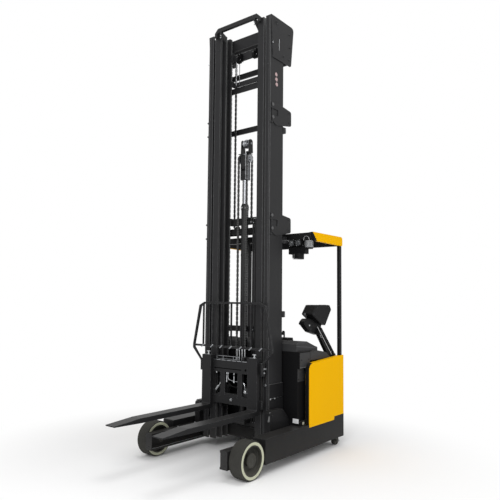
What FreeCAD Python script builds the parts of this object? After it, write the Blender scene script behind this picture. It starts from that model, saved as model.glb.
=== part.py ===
"""Stand-on reach truck, in millimetres: +X is the truck's left, -Y its forks, +Z up.

The origin is on the floor, midway between the fork tips and the rear face.
"""
import FreeCAD, Part

import os
import re

import Sketcher

SIZES = {
    # overall
    "HalfWidth": 672.5, "RearY": 1205.5, "AxleY": -416.5, "Seat": 0.3, "Gap": 6, "Plate": 12,
    # load wheels
    "WheelRadius": 171.5, "WheelWidth": 140, "BandRadius": 134, "TreadChamfer": 6.5,
    "WheelSideGap": 5, "RimWall": 12, "HubRadius": 52, "AxleRadius": 28, "WheelRearGap": 10,
    # straddle legs and their skirts
    "LegBottom": 100, "LegTop": 262, "LegFlange": 20, "LegWeb": 22, "LegWide": 84.5,
    "LegFrontY": -596.5, "SkirtBottom": 96.5, "SkirtTop": 323.5,
    # main frame and bodywork
    "MastRearGap": 38.5, "BatteryDeep": 195, "CoverTop": 1056, "PocketDeep": 26, "PocketLow": 365,
    "PocketTop": 894, "PocketPost": 52, "CowlTop": 1165, "CowlRearY": 800, "CowlRearTop": 1085,
    "CowlInset": 40, "FloorZ": 240, "KneeTop": 960, "KneeGap": 48, "PedalX": 180, "PedalWide": 120,
    "PedalY": 900, "PedalDeep": 160,
    "PanelFrontY": 500.5, "PanelBottom": 300, "PanelTop": 980, "PanelFrontTop": 935,
    "PanelStepY": 1003, "PanelStep": 36, "PanelSkin": 8, "PanelDepth": 48, "PanelRadius": 75,
    # overhead guard
    "RoofTop": 2295, "RoofFrontY": 566, "RoofRearY": 1188.5, "FasciaTall": 100, "FasciaCut": 85,
    "PostWide": 35, "PostDeep": 40, "PostInset": 28, "PostY": 1164.5, "FrontPostX": 220,
    "FrontPostY": 590, "FrontPostWide": 44, "RoofBar": 30, "RoofRail": 70, "SlatPitch": 140,
    "SlatWide": 28, "LampX": 453, "LampSpread": 42, "LampRadius": 38, "BeaconX": 594, "BeaconRadius": 44,
    # controls
    "ArmZ": 1300, "ArmFootY": 1015, "ArmHeadY": 800, "ArmWide": 40, "DialRadius": 46, "DialAhead": 30,
    "DialRise": 30, "ArmrestTop": 1056,
    # mast
    "MastFrontY": 127.5, "MastBottom": 110, "MastTop": 4541, "MastSideGap": 14,
    "OuterDeep": 229, "OuterFlange": 18, "OuterWeb": 14, "OuterWide": 63,
    "StageStep": 93, "MiddleDeep": 176, "MiddleFlange": 16, "MiddleWeb": 14, "MiddleWide": 74,
    "InnerStep": 46, "InnerSetback": 52.5, "InnerDeep": 102, "InnerFlange": 14, "InnerWeb": 13,
    "InnerWide": 65, "RollerPlay": 0.5, "RollerLowZ": 230, "RollerHighZ": 900,
    "TieThick": 10, "TieLeg": 20, "MidTieZ": 2303, "LowTieZ": 1240, "SidePlate": 8,
    "PlateLowZ": 2232, "PlateMidZ": 3384, "PlateHighDrop": 448, "CrossY": 466,
    "ReachPlateTop": 745, "WingTop": 500, "WingFrontY": 61.5, "WingOut": 63, "ReachRodX": 60,
    "ReachRodZ": 180, "ReachRod": 18, "ReachBore": 26, "ReachBarrel": 36, "HandleRise": 40,
    "HandleHalf": 316, "HandleTall": 44, "HandleDeep": 36,
    # lift cylinders
    "LiftBarrel": 32, "LiftBore": 26, "LiftRod": 20, "LiftSideGap": 14, "LiftFrontGap": 5.5,
    "LiftRodDrop": 121, "LiftBarrelDrop": 791, "LiftRodBottom": 450, "LiftBase": 240,
    "FreeInset": 20, "FreeBarrel": 39, "FreeBore": 33, "FreeRod": 28, "FreeBarrelTop": 2594,
    "FreeBarrelBottom": 330, "FreeRodTop": 2870, "FreeRodBottom": 1350, "RodPlay": 0.4, "HeadHalf": 40, "PulleyRadius": 50,
    # chains
    "ChainInset": 46, "ChainWide": 24, "ChainThick": 12, "SheaveDrop": 170, "ChainRadius": 43,
    "ChainBottom": 380, "ChainAnchorZ": 2380, "FreeChainX": 57, "FreeSheaveZ": 3100,
    "FreeSheaveRadius": 45, "FreeChainBottom": 930, "FreeChainAnchorZ": 2400, "PulleyRise": 165,
    # fork carriage
    "ForkX": 307, "ForkWide": 122, "ForkThick": 45, "ForkTop": 490, "ForkTipY": -1205.5,
    "ForkTaper": 300, "ShankFrontY": 21.5, "ShankTop": 1000, "ShankThick": 45, "BarTop": 955,
    "BarTall": 125, "BarThick": 27, "LowBarTop": 585, "LowBarTall": 75, "BarHalf": 398,
    "FrameBackY": 92, "LiftPlateGap": 27, "LiftPlate": 22, "LiftBar": 40, "TiltGap": 24,
    "TiltInset": 63, "TiltRise": 20, "TiltPin": 9, "TiltRodZ": 670,
    "BackrestTop": 1555, "BackrestHalf": 378, "BackrestShoulder": 448, "BackrestFlare": 533.5,
    "BackrestMidZ": 1100, "BackrestFootZ": 933, "BackrestBar": 20, "BackrestDeep": 22,
    "BackrestPitch": 130, "BackrestRod": 14,
    # rear wheels
    "DriveX": -250, "DriveY": 860, "DriveRadius": 171.5, "DriveWide": 134, "DriveBand": 120,
    "DriveTop": 428, "DriveMotor": 105, "DriveMotorTop": 760, "PowerX": -8,
    "CasterInset": 72.5, "CasterY": 1115, "CasterTrail": 22, "CasterRadius": 50, "CasterWide": 44,
}

# Places that follow from the sizes above.
PLACES = {
    "LegOuter": "HalfWidth - WheelWidth - WheelSideGap",
    "LegInner": "LegOuter - LegWide",
    "LegMiddleZ": "(LegBottom + LegTop) / 2",
    "OuterFace": "LegInner - MastSideGap",
    "OuterRearY": "MastFrontY + OuterDeep",
    "MiddleFace": "OuterFace - StageStep",
    "MiddleRearY": "MastFrontY + MiddleDeep",
    "InnerFace": "MiddleFace - InnerStep",
    "InnerFrontY": "MastFrontY + InnerSetback",
    "InnerRearY": "InnerFrontY + InnerDeep",
    "LiftX": "OuterFace - OuterWide - LiftSideGap - LiftBarrel",
    "LiftY": "MiddleRearY + LiftFrontGap + LiftBarrel",
    "LiftRodTop": "MastTop - LiftRodDrop",
    "LiftBarrelTop": "MastTop - LiftBarrelDrop",
    "ChainX": "InnerFace - ChainInset",
    "ChainSheaveY": "InnerRearY + Gap + ChainThick / 2 + ChainRadius",
    "ChainSheaveZ": "LiftRodTop - SheaveDrop",
    "FreeY": "InnerRearY - FreeInset",
    "InnerTieY": "FreeY + FreeSheaveRadius + ChainThick / 2 + Gap",
    "MiddleTieY": "InnerTieY + TieThick + Gap",
    "BulkheadY": "OuterRearY + MastRearGap",
    "BatteryRearY": "BulkheadY + BatteryDeep",
    "CoverHalf": "HalfWidth - PanelDepth - 2.5",
    "PostX": "HalfWidth - PostInset",
    "KneeY": "CowlRearY - KneeGap",
    "FlightTop": "PanelBottom + PanelStep",
    "PlateHighZ": "MastTop - PlateHighDrop",
    "HandleTop": "MastTop + HandleRise",
    "HandleUnder": "HandleTop - HandleTall",
    "DialY": "ArmHeadY - DialAhead",
    "DialZ": "ArmZ + DialRise",
    "CasterX": "HalfWidth - CasterInset",
    "LiftPlateX": "InnerFace - InnerWide - LiftPlateGap",
    "TiltX": "LiftPlateX - TiltInset",
    "LiftFrontY": "FrameBackY + TiltGap",
    "TiltY": "LiftFrontY + 14",
    "TiltZ": "BarTop + TiltRise",
    "ShankRearY": "ShankFrontY + ShankThick",
    "RestFrontY": "FrameBackY - BarThick - BackrestDeep + 4",
}

doc = FreeCAD.newDocument("ReachTruck")
sheet = doc.addObject("Spreadsheet::Sheet", "dims")
for row, (alias, number) in enumerate(SIZES.items(), start=1):
    sheet.set(f"A{row}", alias)
    sheet.set(f"B{row}", str(number))
    sheet.setAlias(f"B{row}", alias)
doc.recompute()

PLANES = {"XY": "XY_Plane", "XZ": "XZ_Plane", "YZ": "YZ_Plane"}
AXES = {"X": ((0, 1, 0), 90), "Y": ((1, 0, 0), -90), "Z": ((0, 0, 1), 0)}
nodes = []


def bound(text):
    """An expression on the sheet, from one written with bare names of sizes and places."""
    text = str(text)
    longer = re.sub(r"\b[A-Z]\w+",
                    lambda found: f"({PLACES[found[0]]})" if found[0] in PLACES else found[0], text)
    if longer != text:
        return bound(longer)
    return re.sub(r"\b([A-Z]\w+)", r"dims.\1", text)


def value(text):
    return float(sheet.evalExpression(bound(text)))


def add(kind, name):
    return doc.addObject(kind, name)


def place(piece, corner):
    for axis, text in zip("xyz", corner):
        piece.setExpression(f"Placement.Base.{axis}", bound(text))
    return piece


def box(name, low, high):
    """A box between two corners."""
    piece = add("Part::Box", name)
    for side, near, far in zip(("Length", "Width", "Height"), low, high):
        piece.setExpression(side, bound(f"({far}) - ({near})"))
    return place(piece, low)


def bar(name, axis, radius, start, end, centre):
    """A round bar along one axis from start to end; centre gives the other two coordinates."""
    piece = add("Part::Cylinder", name)
    piece.setExpression("Radius", bound(radius))
    piece.setExpression("Height", bound(f"({end}) - ({start})"))
    turn, angle = AXES[axis]
    piece.Placement.Rotation = FreeCAD.Rotation(FreeCAD.Vector(*turn), angle)
    corner = list(centre)
    corner.insert("XYZ".index(axis), start)
    return place(piece, corner)


def peg(name, axis, radius, start, end, centre):
    """A hexagonal pin, for the hidden ends of axles; given as a bar is."""
    piece = add("Part::Prism", name)
    piece.Polygon = 6
    piece.setExpression("Circumradius", bound(radius))
    piece.setExpression("Height", bound(f"({end}) - ({start})"))
    turn, angle = AXES[axis]
    piece.Placement.Rotation = FreeCAD.Rotation(FreeCAD.Vector(*turn), angle)
    corner = list(centre)
    corner.insert("XYZ".index(axis), start)
    return place(piece, corner)


def sketched(body, name, role, points):
    """A closed sketch on one of a body's own planes, each corner bound to the sheet."""
    sketch = body.newObject("Sketcher::SketchObject", name + "_sketch")
    origin = [each for each in body.Origin.OriginFeatures if each.Role == role][0]
    sketch.AttachmentSupport = [(origin, "")]
    sketch.MapMode = "FlatFace"
    corners = [FreeCAD.Vector(value(across), value(along), 0) for across, along in points]
    count = len(corners)
    for number, corner in enumerate(corners):
        sketch.addGeometry(Part.LineSegment(corner, corners[(number + 1) % count]), False)
    for number in range(count):
        sketch.addConstraint(Sketcher.Constraint("Coincident", number, 2, (number + 1) % count, 1))
    for number, (pair, corner) in enumerate(zip(points, corners)):
        for kind, text, reach in zip(("DistanceX", "DistanceY"), pair, corner):
            index = sketch.addConstraint(Sketcher.Constraint(kind, -1, 1, number, 1, reach))
            sketch.setExpression(f"Constraints[{index}]", bound(text))
    return sketch, corners


def outline(name, plane, points, start, end, rounds=()):
    """A sketched profile on an origin plane, padded from start to end along its normal.

    rounds holds (corner numbers, radius) pairs for the edges that run along the pad.
    """
    body = add("PartDesign::Body", name)
    sketch, corners = sketched(body, name, PLANES[plane], points)
    offset = f"-({end})" if plane == "XZ" else start
    sketch.setExpression(".AttachmentOffset.Base.z", bound(offset))
    pad = body.newObject("PartDesign::Pad", name + "_pad")
    pad.Profile = sketch
    pad.setExpression("Length", bound(f"({end}) - ({start})"))
    for step, (numbers, radius) in enumerate(rounds):
        doc.recompute()
        tip = body.Tip
        picked = [edge_at(tip.Shape, plane, corners[number]) for number in numbers]
        fillet = body.newObject("PartDesign::Fillet", f"{name}_round{step}")
        fillet.Base = (tip, picked)
        fillet.setExpression("Radius", bound(radius))
        body.Tip = fillet
    return body


def edge_at(shape, plane, corner):
    """The name of the straight edge that runs along the pad through a sketch corner."""
    across, along = {"XY": (0, 1), "XZ": (0, 2), "YZ": (1, 2)}[plane]
    for number, edge in enumerate(shape.Edges, start=1):
        ends = [vertex.Point for vertex in edge.Vertexes]
        if len(ends) == 2 and all(
            abs(end[across] - corner.x) < 1e-4 and abs(end[along] - corner.y) < 1e-4 for end in ends
        ):
            return f"Edge{number}"
    raise ValueError(f"no edge at {corner}")


def ring(name, axis, profile, centre):
    """A turned piece: (radius, position along the axis) pairs revolved round the axis."""
    body = add("PartDesign::Body", name)
    turned_sketch = sketched(body, name, PLANES["XZ"], profile)[0]
    turned = body.newObject("PartDesign::Revolution", name + "_turned")
    turned.Profile = turned_sketch
    turned.ReferenceAxis = (turned_sketch, ["V_Axis"])
    turned.Angle = 360
    turn, angle = AXES[axis]
    body.Placement.Rotation = FreeCAD.Rotation(FreeCAD.Vector(*turn), angle)
    return place(body, centre)


def fuse(name, pieces):
    piece = add("Part::MultiFuse", name)
    piece.Shapes = pieces
    piece.Refine = True
    return piece


def cut(name, base, tool):
    piece = add("Part::Cut", name)
    piece.Base = base
    piece.Tool = tool
    piece.Refine = True
    return piece


def gather(name, pieces):
    """Like pieces that share a node without touching."""
    piece = add("Part::Compound", name)
    piece.Links = pieces
    return piece


def mirrored(name, source):
    piece = add("Part::Mirroring", name)
    piece.Source = source
    piece.Normal = FreeCAD.Vector(1, 0, 0)
    return piece


def both(name, pieces):
    """Left pieces and their mirror images."""
    return pieces + [mirrored(f"{name}_mirror{number}", piece) for number, piece in enumerate(pieces)]


def pair(name, source):
    """A left piece and its mirror image in one node."""
    return gather(name, both(name, [source]))


def node(label, piece):
    piece.Label = label
    nodes.append(piece)
    return piece


def load_wheels():
    """Moulded tyre on a dished steel rim, with the hub standing proud inside the dish."""
    inner = "HalfWidth - WheelWidth"
    tyre = ring("tyre_left", "X", (
        ("BandRadius", 0), ("WheelRadius - TreadChamfer", 0), ("WheelRadius", "TreadChamfer"),
        ("WheelRadius", "WheelWidth - TreadChamfer"), ("WheelRadius - TreadChamfer", "WheelWidth"),
        ("BandRadius", "WheelWidth"),
    ), (inner, "AxleY", "WheelRadius"))
    rim = ring("rim_left", "X", (
        ("AxleRadius + RodPlay", "WheelWidth / 5"), ("BandRadius - RimWall", "WheelWidth / 5"),
        ("BandRadius - RimWall", "RimWall / 3"), ("BandRadius - Seat", "RimWall / 3"),
        ("BandRadius - Seat", "WheelWidth - RimWall / 3"),
        ("BandRadius - RimWall", "WheelWidth - RimWall / 3"),
        ("BandRadius - RimWall", "WheelWidth / 2 + RimWall"), ("HubRadius", "WheelWidth / 2 + RimWall"),
        ("HubRadius", "WheelWidth - 2 * RimWall"), ("AxleRadius + RodPlay", "WheelWidth - 2 * RimWall"),
    ), (inner, "AxleY", "WheelRadius"))
    node("load_tyre_left", tyre)
    node("load_rim_left", rim)
    node("load_tyre_right", mirrored("tyre_right", tyre))
    node("load_rim_right", mirrored("rim_right", rim))


def legs():
    """Channels that open inwards, with a skirt behind each load wheel flush with its outer face."""
    channel = outline("leg_channel", "XZ", (
        ("LegInner", "LegBottom"), ("LegOuter", "LegBottom"), ("LegOuter", "LegTop"),
        ("LegInner", "LegTop"),
        ("LegInner", "LegTop - LegFlange"), ("LegOuter - LegWeb", "LegTop - LegFlange"),
        ("LegOuter - LegWeb", "LegBottom + LegFlange"), ("LegInner", "LegBottom + LegFlange"),
    ), "LegFrontY", "BulkheadY - Seat")
    hub = ("AxleY", "WheelRadius")
    left = cut("leg_left", channel,
               bar("leg_bore", "X", "AxleRadius", "LegOuter - 2 * LegWeb", "LegOuter + 1", hub))
    node("leg_left", left)
    node("leg_right", mirrored("leg_right", left))
    cap = "HalfWidth - LegWeb"
    axle = fuse("axle_left", [
        bar("axle_bar", "X", "AxleRadius", "LegOuter - LegWeb", cap, hub),
        bar("axle_cap", "X", "HubRadius", f"{cap} - Seat", f"{cap} + TreadChamfer", hub),
    ])
    node("stub_axles", pair("axles", axle))
    front = "AxleY + WheelRadius + WheelRearGap"
    shell = outline("skirt_shell", "YZ", (
        (front, "SkirtBottom"), ("RearY", "SkirtBottom"), ("RearY", "FlightTop - Seat"),
        ("PanelStepY", "FlightTop - Seat"), ("PanelStepY - Gap", "PanelBottom - Seat"),
        ("PanelFrontY", "PanelBottom - Seat"), ("PanelFrontY", "SkirtTop"), (front, "SkirtTop"),
    ), "LegOuter + Seat", "HalfWidth", [((7,), "Plate")])
    inside = box("skirt_hollow", ("LegOuter + Plate", f"{front} + Plate", "SkirtBottom - Plate"),
                 ("HalfWidth - Plate", "RearY - Plate", "PanelBottom - Plate"))
    skirt = cut("skirt_left", shell, inside)
    node("side_skirts", pair("skirts", skirt))


def chassis():
    """Bulkhead, bottom plate with cut-outs for the rear wheels, and the rear skirt."""
    bottom = box("bottom_plate", ("-LegOuter", "BulkheadY", "LegBottom"),
                 ("LegOuter", "RearY - Plate", "LegBottom + Plate"))
    drive_hole = bar("drive_hole", "Z", "DriveRadius + 50", "LegBottom - 1", "LegBottom + Plate + 1",
                     ("DriveX", "DriveY"))
    wall = box("bulkhead", ("-LegOuter", "BulkheadY", "LegBottom"),
               ("LegOuter", "BulkheadY + Plate", "SkirtTop"))
    middle = ("ReachRodX", "ReachRodZ")
    rod_hole = bar("rod_hole", "Y", "ReachRod + Plate", "BulkheadY - 1", "BulkheadY + Plate + 1", middle)
    skirt = box("rear_skirt", ("-LegOuter", "RearY - Plate", "LegBottom"),
                ("LegOuter", "RearY", "PanelBottom"))
    front, rear = "DriveY - 160", "DriveY + 160"
    drive_top = box("drive_plate", ("-LegOuter", front, "DriveTop"),
                    ("PowerX - 2 * Plate", rear, "DriveTop + Plate"))
    drive_side = box("drive_side", ("-LegOuter", front, "LegBottom"),
                     ("Plate - LegOuter", rear, "DriveTop + Plate"))
    node("chassis_frame", fuse("frame_plates", [
        cut("bottom_cut", bottom, drive_hole), cut("wall_cut", wall, rod_hole), skirt, drive_top,
        drive_side,
    ]))
    node("drive_motor", bar("motor", "Z", "DriveMotor", "DriveTop + Plate + Seat", "DriveMotorTop",
                            ("DriveX", "DriveY")))
    half = "CoverHalf - PocketDeep - Plate - Seat"
    node("battery", box("battery_block", (f"-({half})", "BulkheadY + Plate + Seat", "SkirtTop + Seat"),
                        (half, "BatteryRearY - Plate - Seat", "CoverTop - 5 * Plate")))
    near, far = "BulkheadY + Plate + Seat", "RearY - 130"
    barrel = cut("reach_tube", bar("reach_barrel", "Y", "ReachBarrel", near, far, middle),
                 bar("reach_bore", "Y", "ReachBore", "BulkheadY", f"{far} - 20", middle))
    gland = cut("reach_gland", bar("gland_ring", "Y", "ReachRod + Plate - 0.1", "BulkheadY - Gap",
                                   "BulkheadY + 40", middle),
                bar("gland_bore", "Y", "ReachRod + RodPlay", "BulkheadY - 10", "BulkheadY + 60", middle))
    node("reach_cylinder", fuse("reach_barrel_solid", [barrel, gland]))


def bodywork():
    """Battery cover with a pocket in each side, and the console that leans over it."""
    low = "SkirtTop + Seat"
    shell = box("cover_shell", ("-CoverHalf", "BulkheadY", low),
                ("CoverHalf", "BatteryRearY", "CoverTop"))
    inside = "CoverHalf - PocketDeep - Plate"
    hollow = box("cover_hollow", (f"-({inside})", "BulkheadY + Plate", "SkirtTop - 1"),
                 (inside, "BatteryRearY - Plate", "CoverTop - Plate"))
    pocket = outline("cover_pocket", "YZ", (
        ("BulkheadY - 1", "PocketLow"), ("BatteryRearY - PocketPost", "PocketLow"),
        ("BatteryRearY - PocketPost", "PocketTop"), ("BulkheadY - 1", "PocketTop"),
    ), "CoverHalf - PocketDeep", "CoverHalf + 1", [((1, 2), "Plate")])
    tools = fuse("cover_tools", [hollow] + both("pocket", [pocket]))
    node("battery_cover", cut("cover", shell, tools))
    half = "CoverHalf - CowlInset"
    cowl = outline("cowl", "YZ", (
        ("BulkheadY", "CoverTop + Seat"), ("BatteryRearY + 2", "CoverTop + Seat"),
        ("BatteryRearY + 2", "CowlRearTop - 2.5 * Plate"),
        ("CowlRearY", "CowlRearTop - 3 * Plate"), ("CowlRearY", "CowlRearTop"),
        ("KneeY", "CowlRearTop + Plate"),
        ("BatteryRearY", "CowlTop - Plate"), ("BulkheadY + 3 * Plate", "CowlTop"),
        ("BulkheadY", "CowlTop - 3 * Plate"),
    ), f"-({half})", half, [((4, 7), "Plate")])
    brow = box("cowl_brow", (f"-({half})", "BatteryRearY + 2", "KneeTop + Seat"),
               (half, "KneeY + Plate", "CowlRearTop - 3 * Plate"))
    reach = "FrontPostWide / 2 + 2"
    hole = box("post_hole", (f"FrontPostX - ({reach})", f"FrontPostY - ({reach})", "CoverTop - 1"),
               (f"FrontPostX + {reach}", f"FrontPostY + {reach}", "CowlTop + 10"))
    foot_hole = box("foot_hole", (f"FrontPostX - ({reach})", "BatteryRearY", "KneeTop"),
                    (f"FrontPostX + {reach}", f"FrontPostY + {reach}", "CoverTop"))
    holes = fuse("post_holes", both("post_hole", [hole, foot_hole]))
    node("console_cowl", cut("cowl_cut", fuse("cowl_whole", [cowl, brow]), holes))


def side_panels():
    points = (
        ("PanelFrontY", "PanelBottom"), ("PanelStepY - Gap", "PanelBottom"), ("PanelStepY", "FlightTop"),
        ("RearY", "FlightTop"), ("RearY", "PanelTop"), ("PanelFrontY", "PanelFrontTop"),
    )
    inner = "HalfWidth - PanelDepth"
    skin = outline("panel_skin", "YZ", points, inner, "HalfWidth",
                   [((5,), "PanelRadius"), ((4,), "Plate")])
    hollow = outline("panel_hollow", "YZ", (
        ("PanelFrontY + PanelSkin", "PanelBottom + PanelSkin"),
        ("PanelStepY - Gap - PanelSkin", "PanelBottom + PanelSkin"),
        ("PanelStepY - PanelSkin", "FlightTop + PanelSkin"),
        ("RearY - PanelSkin", "FlightTop + PanelSkin"),
        ("RearY - PanelSkin", "PanelTop - PanelSkin"),
        ("PanelFrontY + PanelSkin", "PanelFrontTop - PanelSkin"),
    ), f"{inner} - 1", "HalfWidth - PanelSkin", [((5,), "PanelRadius - PanelSkin")])
    wide, deep = "PostWide / 2 + 1", "PostDeep / 2 + 1"
    post = box("panel_post_hole", (f"PostX - ({wide})", f"PostY - ({deep})", "PanelBottom"),
               (f"PostX + {wide}", f"PostY + {deep}", "PanelTop + 10"))
    left = cut("panel_left", cut("panel_shell", skin, hollow), post)
    node("side_panel_left", left)
    node("side_panel_right", mirrored("panel_right", left))


def compartment():
    """The operator's bay on the left: floor with its pedal, knee wall and side wall."""
    rear = "RearY - Plate - Seat"
    floor = box("floor", ("PowerX", "BatteryRearY + Gap", "FloorZ"),
                ("LegOuter - Seat", rear, "FloorZ + Plate"))
    pedal = box("pedal", ("PedalX", "PedalY", "FloorZ + Plate"),
                ("PedalX + PedalWide", "PedalY + PedalDeep", "FloorZ + 3 * Plate"))
    node("operator_floor", fuse("floor_whole", [floor, pedal]))
    front = "KneeY - Plate"
    knee = box("knee_wall", ("PowerX", front, "FloorZ + Plate + Seat"),
               ("LegOuter - Seat", "KneeY", "KneeTop"))
    wing = box("knee_wing", ("LegOuter - 2 * Seat", front, "PanelBottom"),
               ("CoverHalf - Plate", "KneeY", "KneeTop"))
    side = outline("side_wall", "YZ", (
        (front, "PanelBottom"), ("PanelStepY - Gap", "PanelBottom"), ("PanelStepY", "FlightTop"),
        (rear, "FlightTop"), (rear, "KneeTop"), (front, "KneeTop"),
    ), "CoverHalf - 2 * Plate", "CoverHalf - Plate")
    node("compartment_liner", fuse("liner", [knee, wing, side]))
    cover_front = "BatteryRearY + Gap"
    shell = box("power_shell", ("-CoverHalf", cover_front, "FlightTop"),
                ("PowerX - Seat", rear, "KneeTop"))
    hollow = box("power_hollow", ("Plate - CoverHalf", f"{cover_front} + Plate", "FloorZ"),
                 ("PowerX - Seat - Plate", f"{rear} - Plate", "KneeTop - Plate"))
    node("power_cover", cut("power", shell, hollow))
    armrest = outline("armrest", "YZ", (
        (cover_front, "KneeTop + Seat"), ("ArmFootY - Gap", "KneeTop + Seat"),
        ("ArmFootY - 2 * Plate", "KneeTop + Plate"),
        ("KneeY + 160", "ArmrestTop - 2.5 * Plate"), ("KneeY - 20", "ArmrestTop"),
        (cover_front, "ArmrestTop - Plate"),
    ), "CoverHalf - CowlInset + Seat", "CoverHalf", [((3, 4), "PanelRadius")])
    node("side_armrest", armrest)


def guard():
    """Four posts, a roof frame with slats, yellow fascias, work lamps and a beacon."""
    wide, deep = "PostWide / 2", "PostDeep / 2"
    rear_post = box("rear_post", (f"PostX - {wide}", f"PostY - {deep}", "FlightTop"),
                    (f"PostX + {wide}", f"PostY + {deep}", "RoofTop - FasciaTall - Seat"))
    front_post = box("front_post",
                     ("FrontPostX - FrontPostWide / 2", "FrontPostY - FrontPostWide / 2",
                      "CoverTop + Seat"),
                     ("FrontPostX + FrontPostWide / 2", "FrontPostY + FrontPostWide / 2",
                      "RoofTop - RoofRail"))
    half = "HalfWidth - RoofBar"
    front = box("roof_front", (f"-({half})", "RoofFrontY", "RoofTop - RoofRail"),
                (half, "RoofFrontY + 50", "RoofTop - 4"))
    rear = box("roof_rear", (f"-({half})", "RoofRearY - 45", "RoofTop - FasciaTall"),
               (half, "RoofRearY", "RoofTop - 4"))
    slats = []
    for number in range(-4, 5):
        slats.append(box(f"slat{number + 4}",
                         (f"{number} * SlatPitch - SlatWide / 2", "RoofFrontY + 50", "RoofTop - 34"),
                         (f"{number} * SlatPitch + SlatWide / 2", "RoofRearY - 45", "RoofTop - 4")))
    node("guard_frame", fuse("guard", both("guard", [rear_post, front_post]) + [front, rear] + slats))
    fascia = outline("fascia", "YZ", (
        ("RoofFrontY", "RoofTop"), ("RoofFrontY + FasciaCut", "RoofTop - FasciaTall + 10"),
        ("RoofRearY", "RoofTop - FasciaTall"), ("RoofRearY", "RoofTop"),
    ), "HalfWidth - RoofBar + Seat", "HalfWidth", [((1, 2), "Plate"), ((3,), "RoofBar")])
    node("guard_fascia", pair("fascias", fascia))
    under = "RoofTop - RoofRail - Seat"
    lamp_z = f"{under} - LampRadius"
    housing = box("lamp_housing", ("LampX - 2.2 * LampSpread", "RoofFrontY + Gap", "RoofTop - 224"),
                  ("LampX + 2.8 * LampSpread", "RoofFrontY + 2 * LampRadius",
                   f"{lamp_z} - LampRadius + Seat"))
    lamps = []
    for number, side in enumerate((-1, 1)):
        lamps.append(bar(f"lamp{number}", "Y", "LampRadius", "RoofFrontY", "RoofFrontY + 2 * LampRadius",
                         (f"LampX + {side} * LampSpread", lamp_z)))
    cap = bar("lamp_cap", "Z", "1.4 * LampRadius", "RoofTop - 278", "RoofTop - 220",
              ("LampX + LampSpread / 2", "RoofFrontY + LampRadius"))
    stalk = box("lamp_stalk", ("LampX - Plate", "RoofFrontY + Plate", lamp_z),
                ("LampX + Plate", "RoofFrontY + 4 * Plate", under))
    beacon = bar("beacon", "Z", "BeaconRadius", "RoofTop - 172", under,
                 ("BeaconX", "RoofFrontY + BeaconRadius"))
    node("guard_lamps", gather("guard_lights", [fuse("lamp_set", [housing, cap, stalk] + lamps), beacon]))


def controls():
    """Twin rails that lean forward from the side wall and carry the display and steering dial."""
    inner = "CoverHalf - CowlInset - ArmWide / 2"
    arm = outline("arm", "YZ", (
        ("ArmFootY", "KneeTop + Seat"), ("ArmFootY + 154", "KneeTop + Seat"),
        ("ArmHeadY + 56", "ArmZ - Plate"),
        ("ArmHeadY", "ArmZ - 7 * Plate"),
    ), inner, f"{inner} + ArmWide")
    slot = outline("arm_slot", "YZ", (
        ("ArmFootY + 50", "KneeTop + 2 * Plate"), ("ArmFootY + 88", "KneeTop + 2 * Plate"),
        ("ArmHeadY + 60", "ArmZ - 5 * Plate"),
        ("ArmHeadY + 28", "ArmZ - 8 * Plate"),
    ), f"{inner} - 1", f"{inner} + ArmWide + 1")
    node("control_arm", cut("arm_rails", arm, slot))
    screen = outline("screen", "YZ", (
        ("ArmHeadY - 8", "ArmZ + 49"), ("ArmHeadY + 115", "ArmZ + Plate"),
        ("ArmHeadY + 244", "ArmZ + 182"),
        ("ArmHeadY + 206", "ArmZ + 230"), ("ArmHeadY - 74", "ArmZ + 230"),
        ("ArmHeadY - 158", "ArmZ + 133"),
    ), f"{inner} - 2 * ArmWide", f"{inner} + 1.2 * ArmWide", [((2, 3, 4, 5), "Plate")])
    pod = outline("pod", "YZ", (
        ("ArmHeadY + 48", "ArmZ - 92"), ("ArmHeadY + 104", "ArmZ - 24"),
        ("ArmHeadY + 115", "ArmZ + Plate + 2"),
        ("ArmHeadY - 8", "ArmZ + 51"), ("ArmHeadY - 64", "ArmZ + 86"), ("ArmHeadY - 180", "ArmZ + 88"),
        ("ArmHeadY - 253", "ArmZ + 44"), ("ArmHeadY - 117", "ArmZ - 54"),
    ), f"{inner} - 1.5 * ArmWide", f"{inner} - Seat", [((5, 6, 7), "2 * Plate")])
    node("display_head", fuse("head", [screen, pod]))
    side = f"{inner} - 1.5 * ArmWide"
    place_yz = ("DialY - 4 * Plate", "DialZ - Plate")
    hub = bar("dial_hub", "X", "Plate", f"{side} - 2 * Plate", f"{side} - Seat", place_yz)
    dial = bar("dial", "X", "DialRadius", f"{side} - 3 * Plate", f"{side} - 1.5 * Plate", place_yz)
    knob = bar("knob", "X", "Plate", f"{side} - 7 * Plate", f"{side} - 2.5 * Plate",
               ("DialY - 6 * Plate", "DialZ"))
    node("steering_dial", fuse("dial_knob", [hub, dial, knob]))
    fall = "Plate / (BatteryDeep - 3 * Plate)"
    base = f"CowlTop - 2 * Plate * {fall}"
    pad = outline("arm_pad", "YZ", (
        ("BulkheadY + 5 * Plate", f"{base} + Seat"),
        ("BulkheadY + 14 * Plate", f"CowlTop - 11 * Plate * {fall} + Seat"),
        ("BulkheadY + 13 * Plate", f"{base} + 2 * Plate"),
        ("BulkheadY + 6 * Plate", f"{base} + 2 * Plate"),
    ), "FrontPostX + FrontPostWide", "FrontPostX + FrontPostWide + 14 * Plate")
    lever = bar("lever", "Z", "0.7 * Plate", "CowlTop + Plate", "CowlTop + 7 * Plate",
                ("FrontPostX + 12 * Plate", "BulkheadY + 8 * Plate"))
    node("control_levers", fuse("levers", [lever, pad]))


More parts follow.
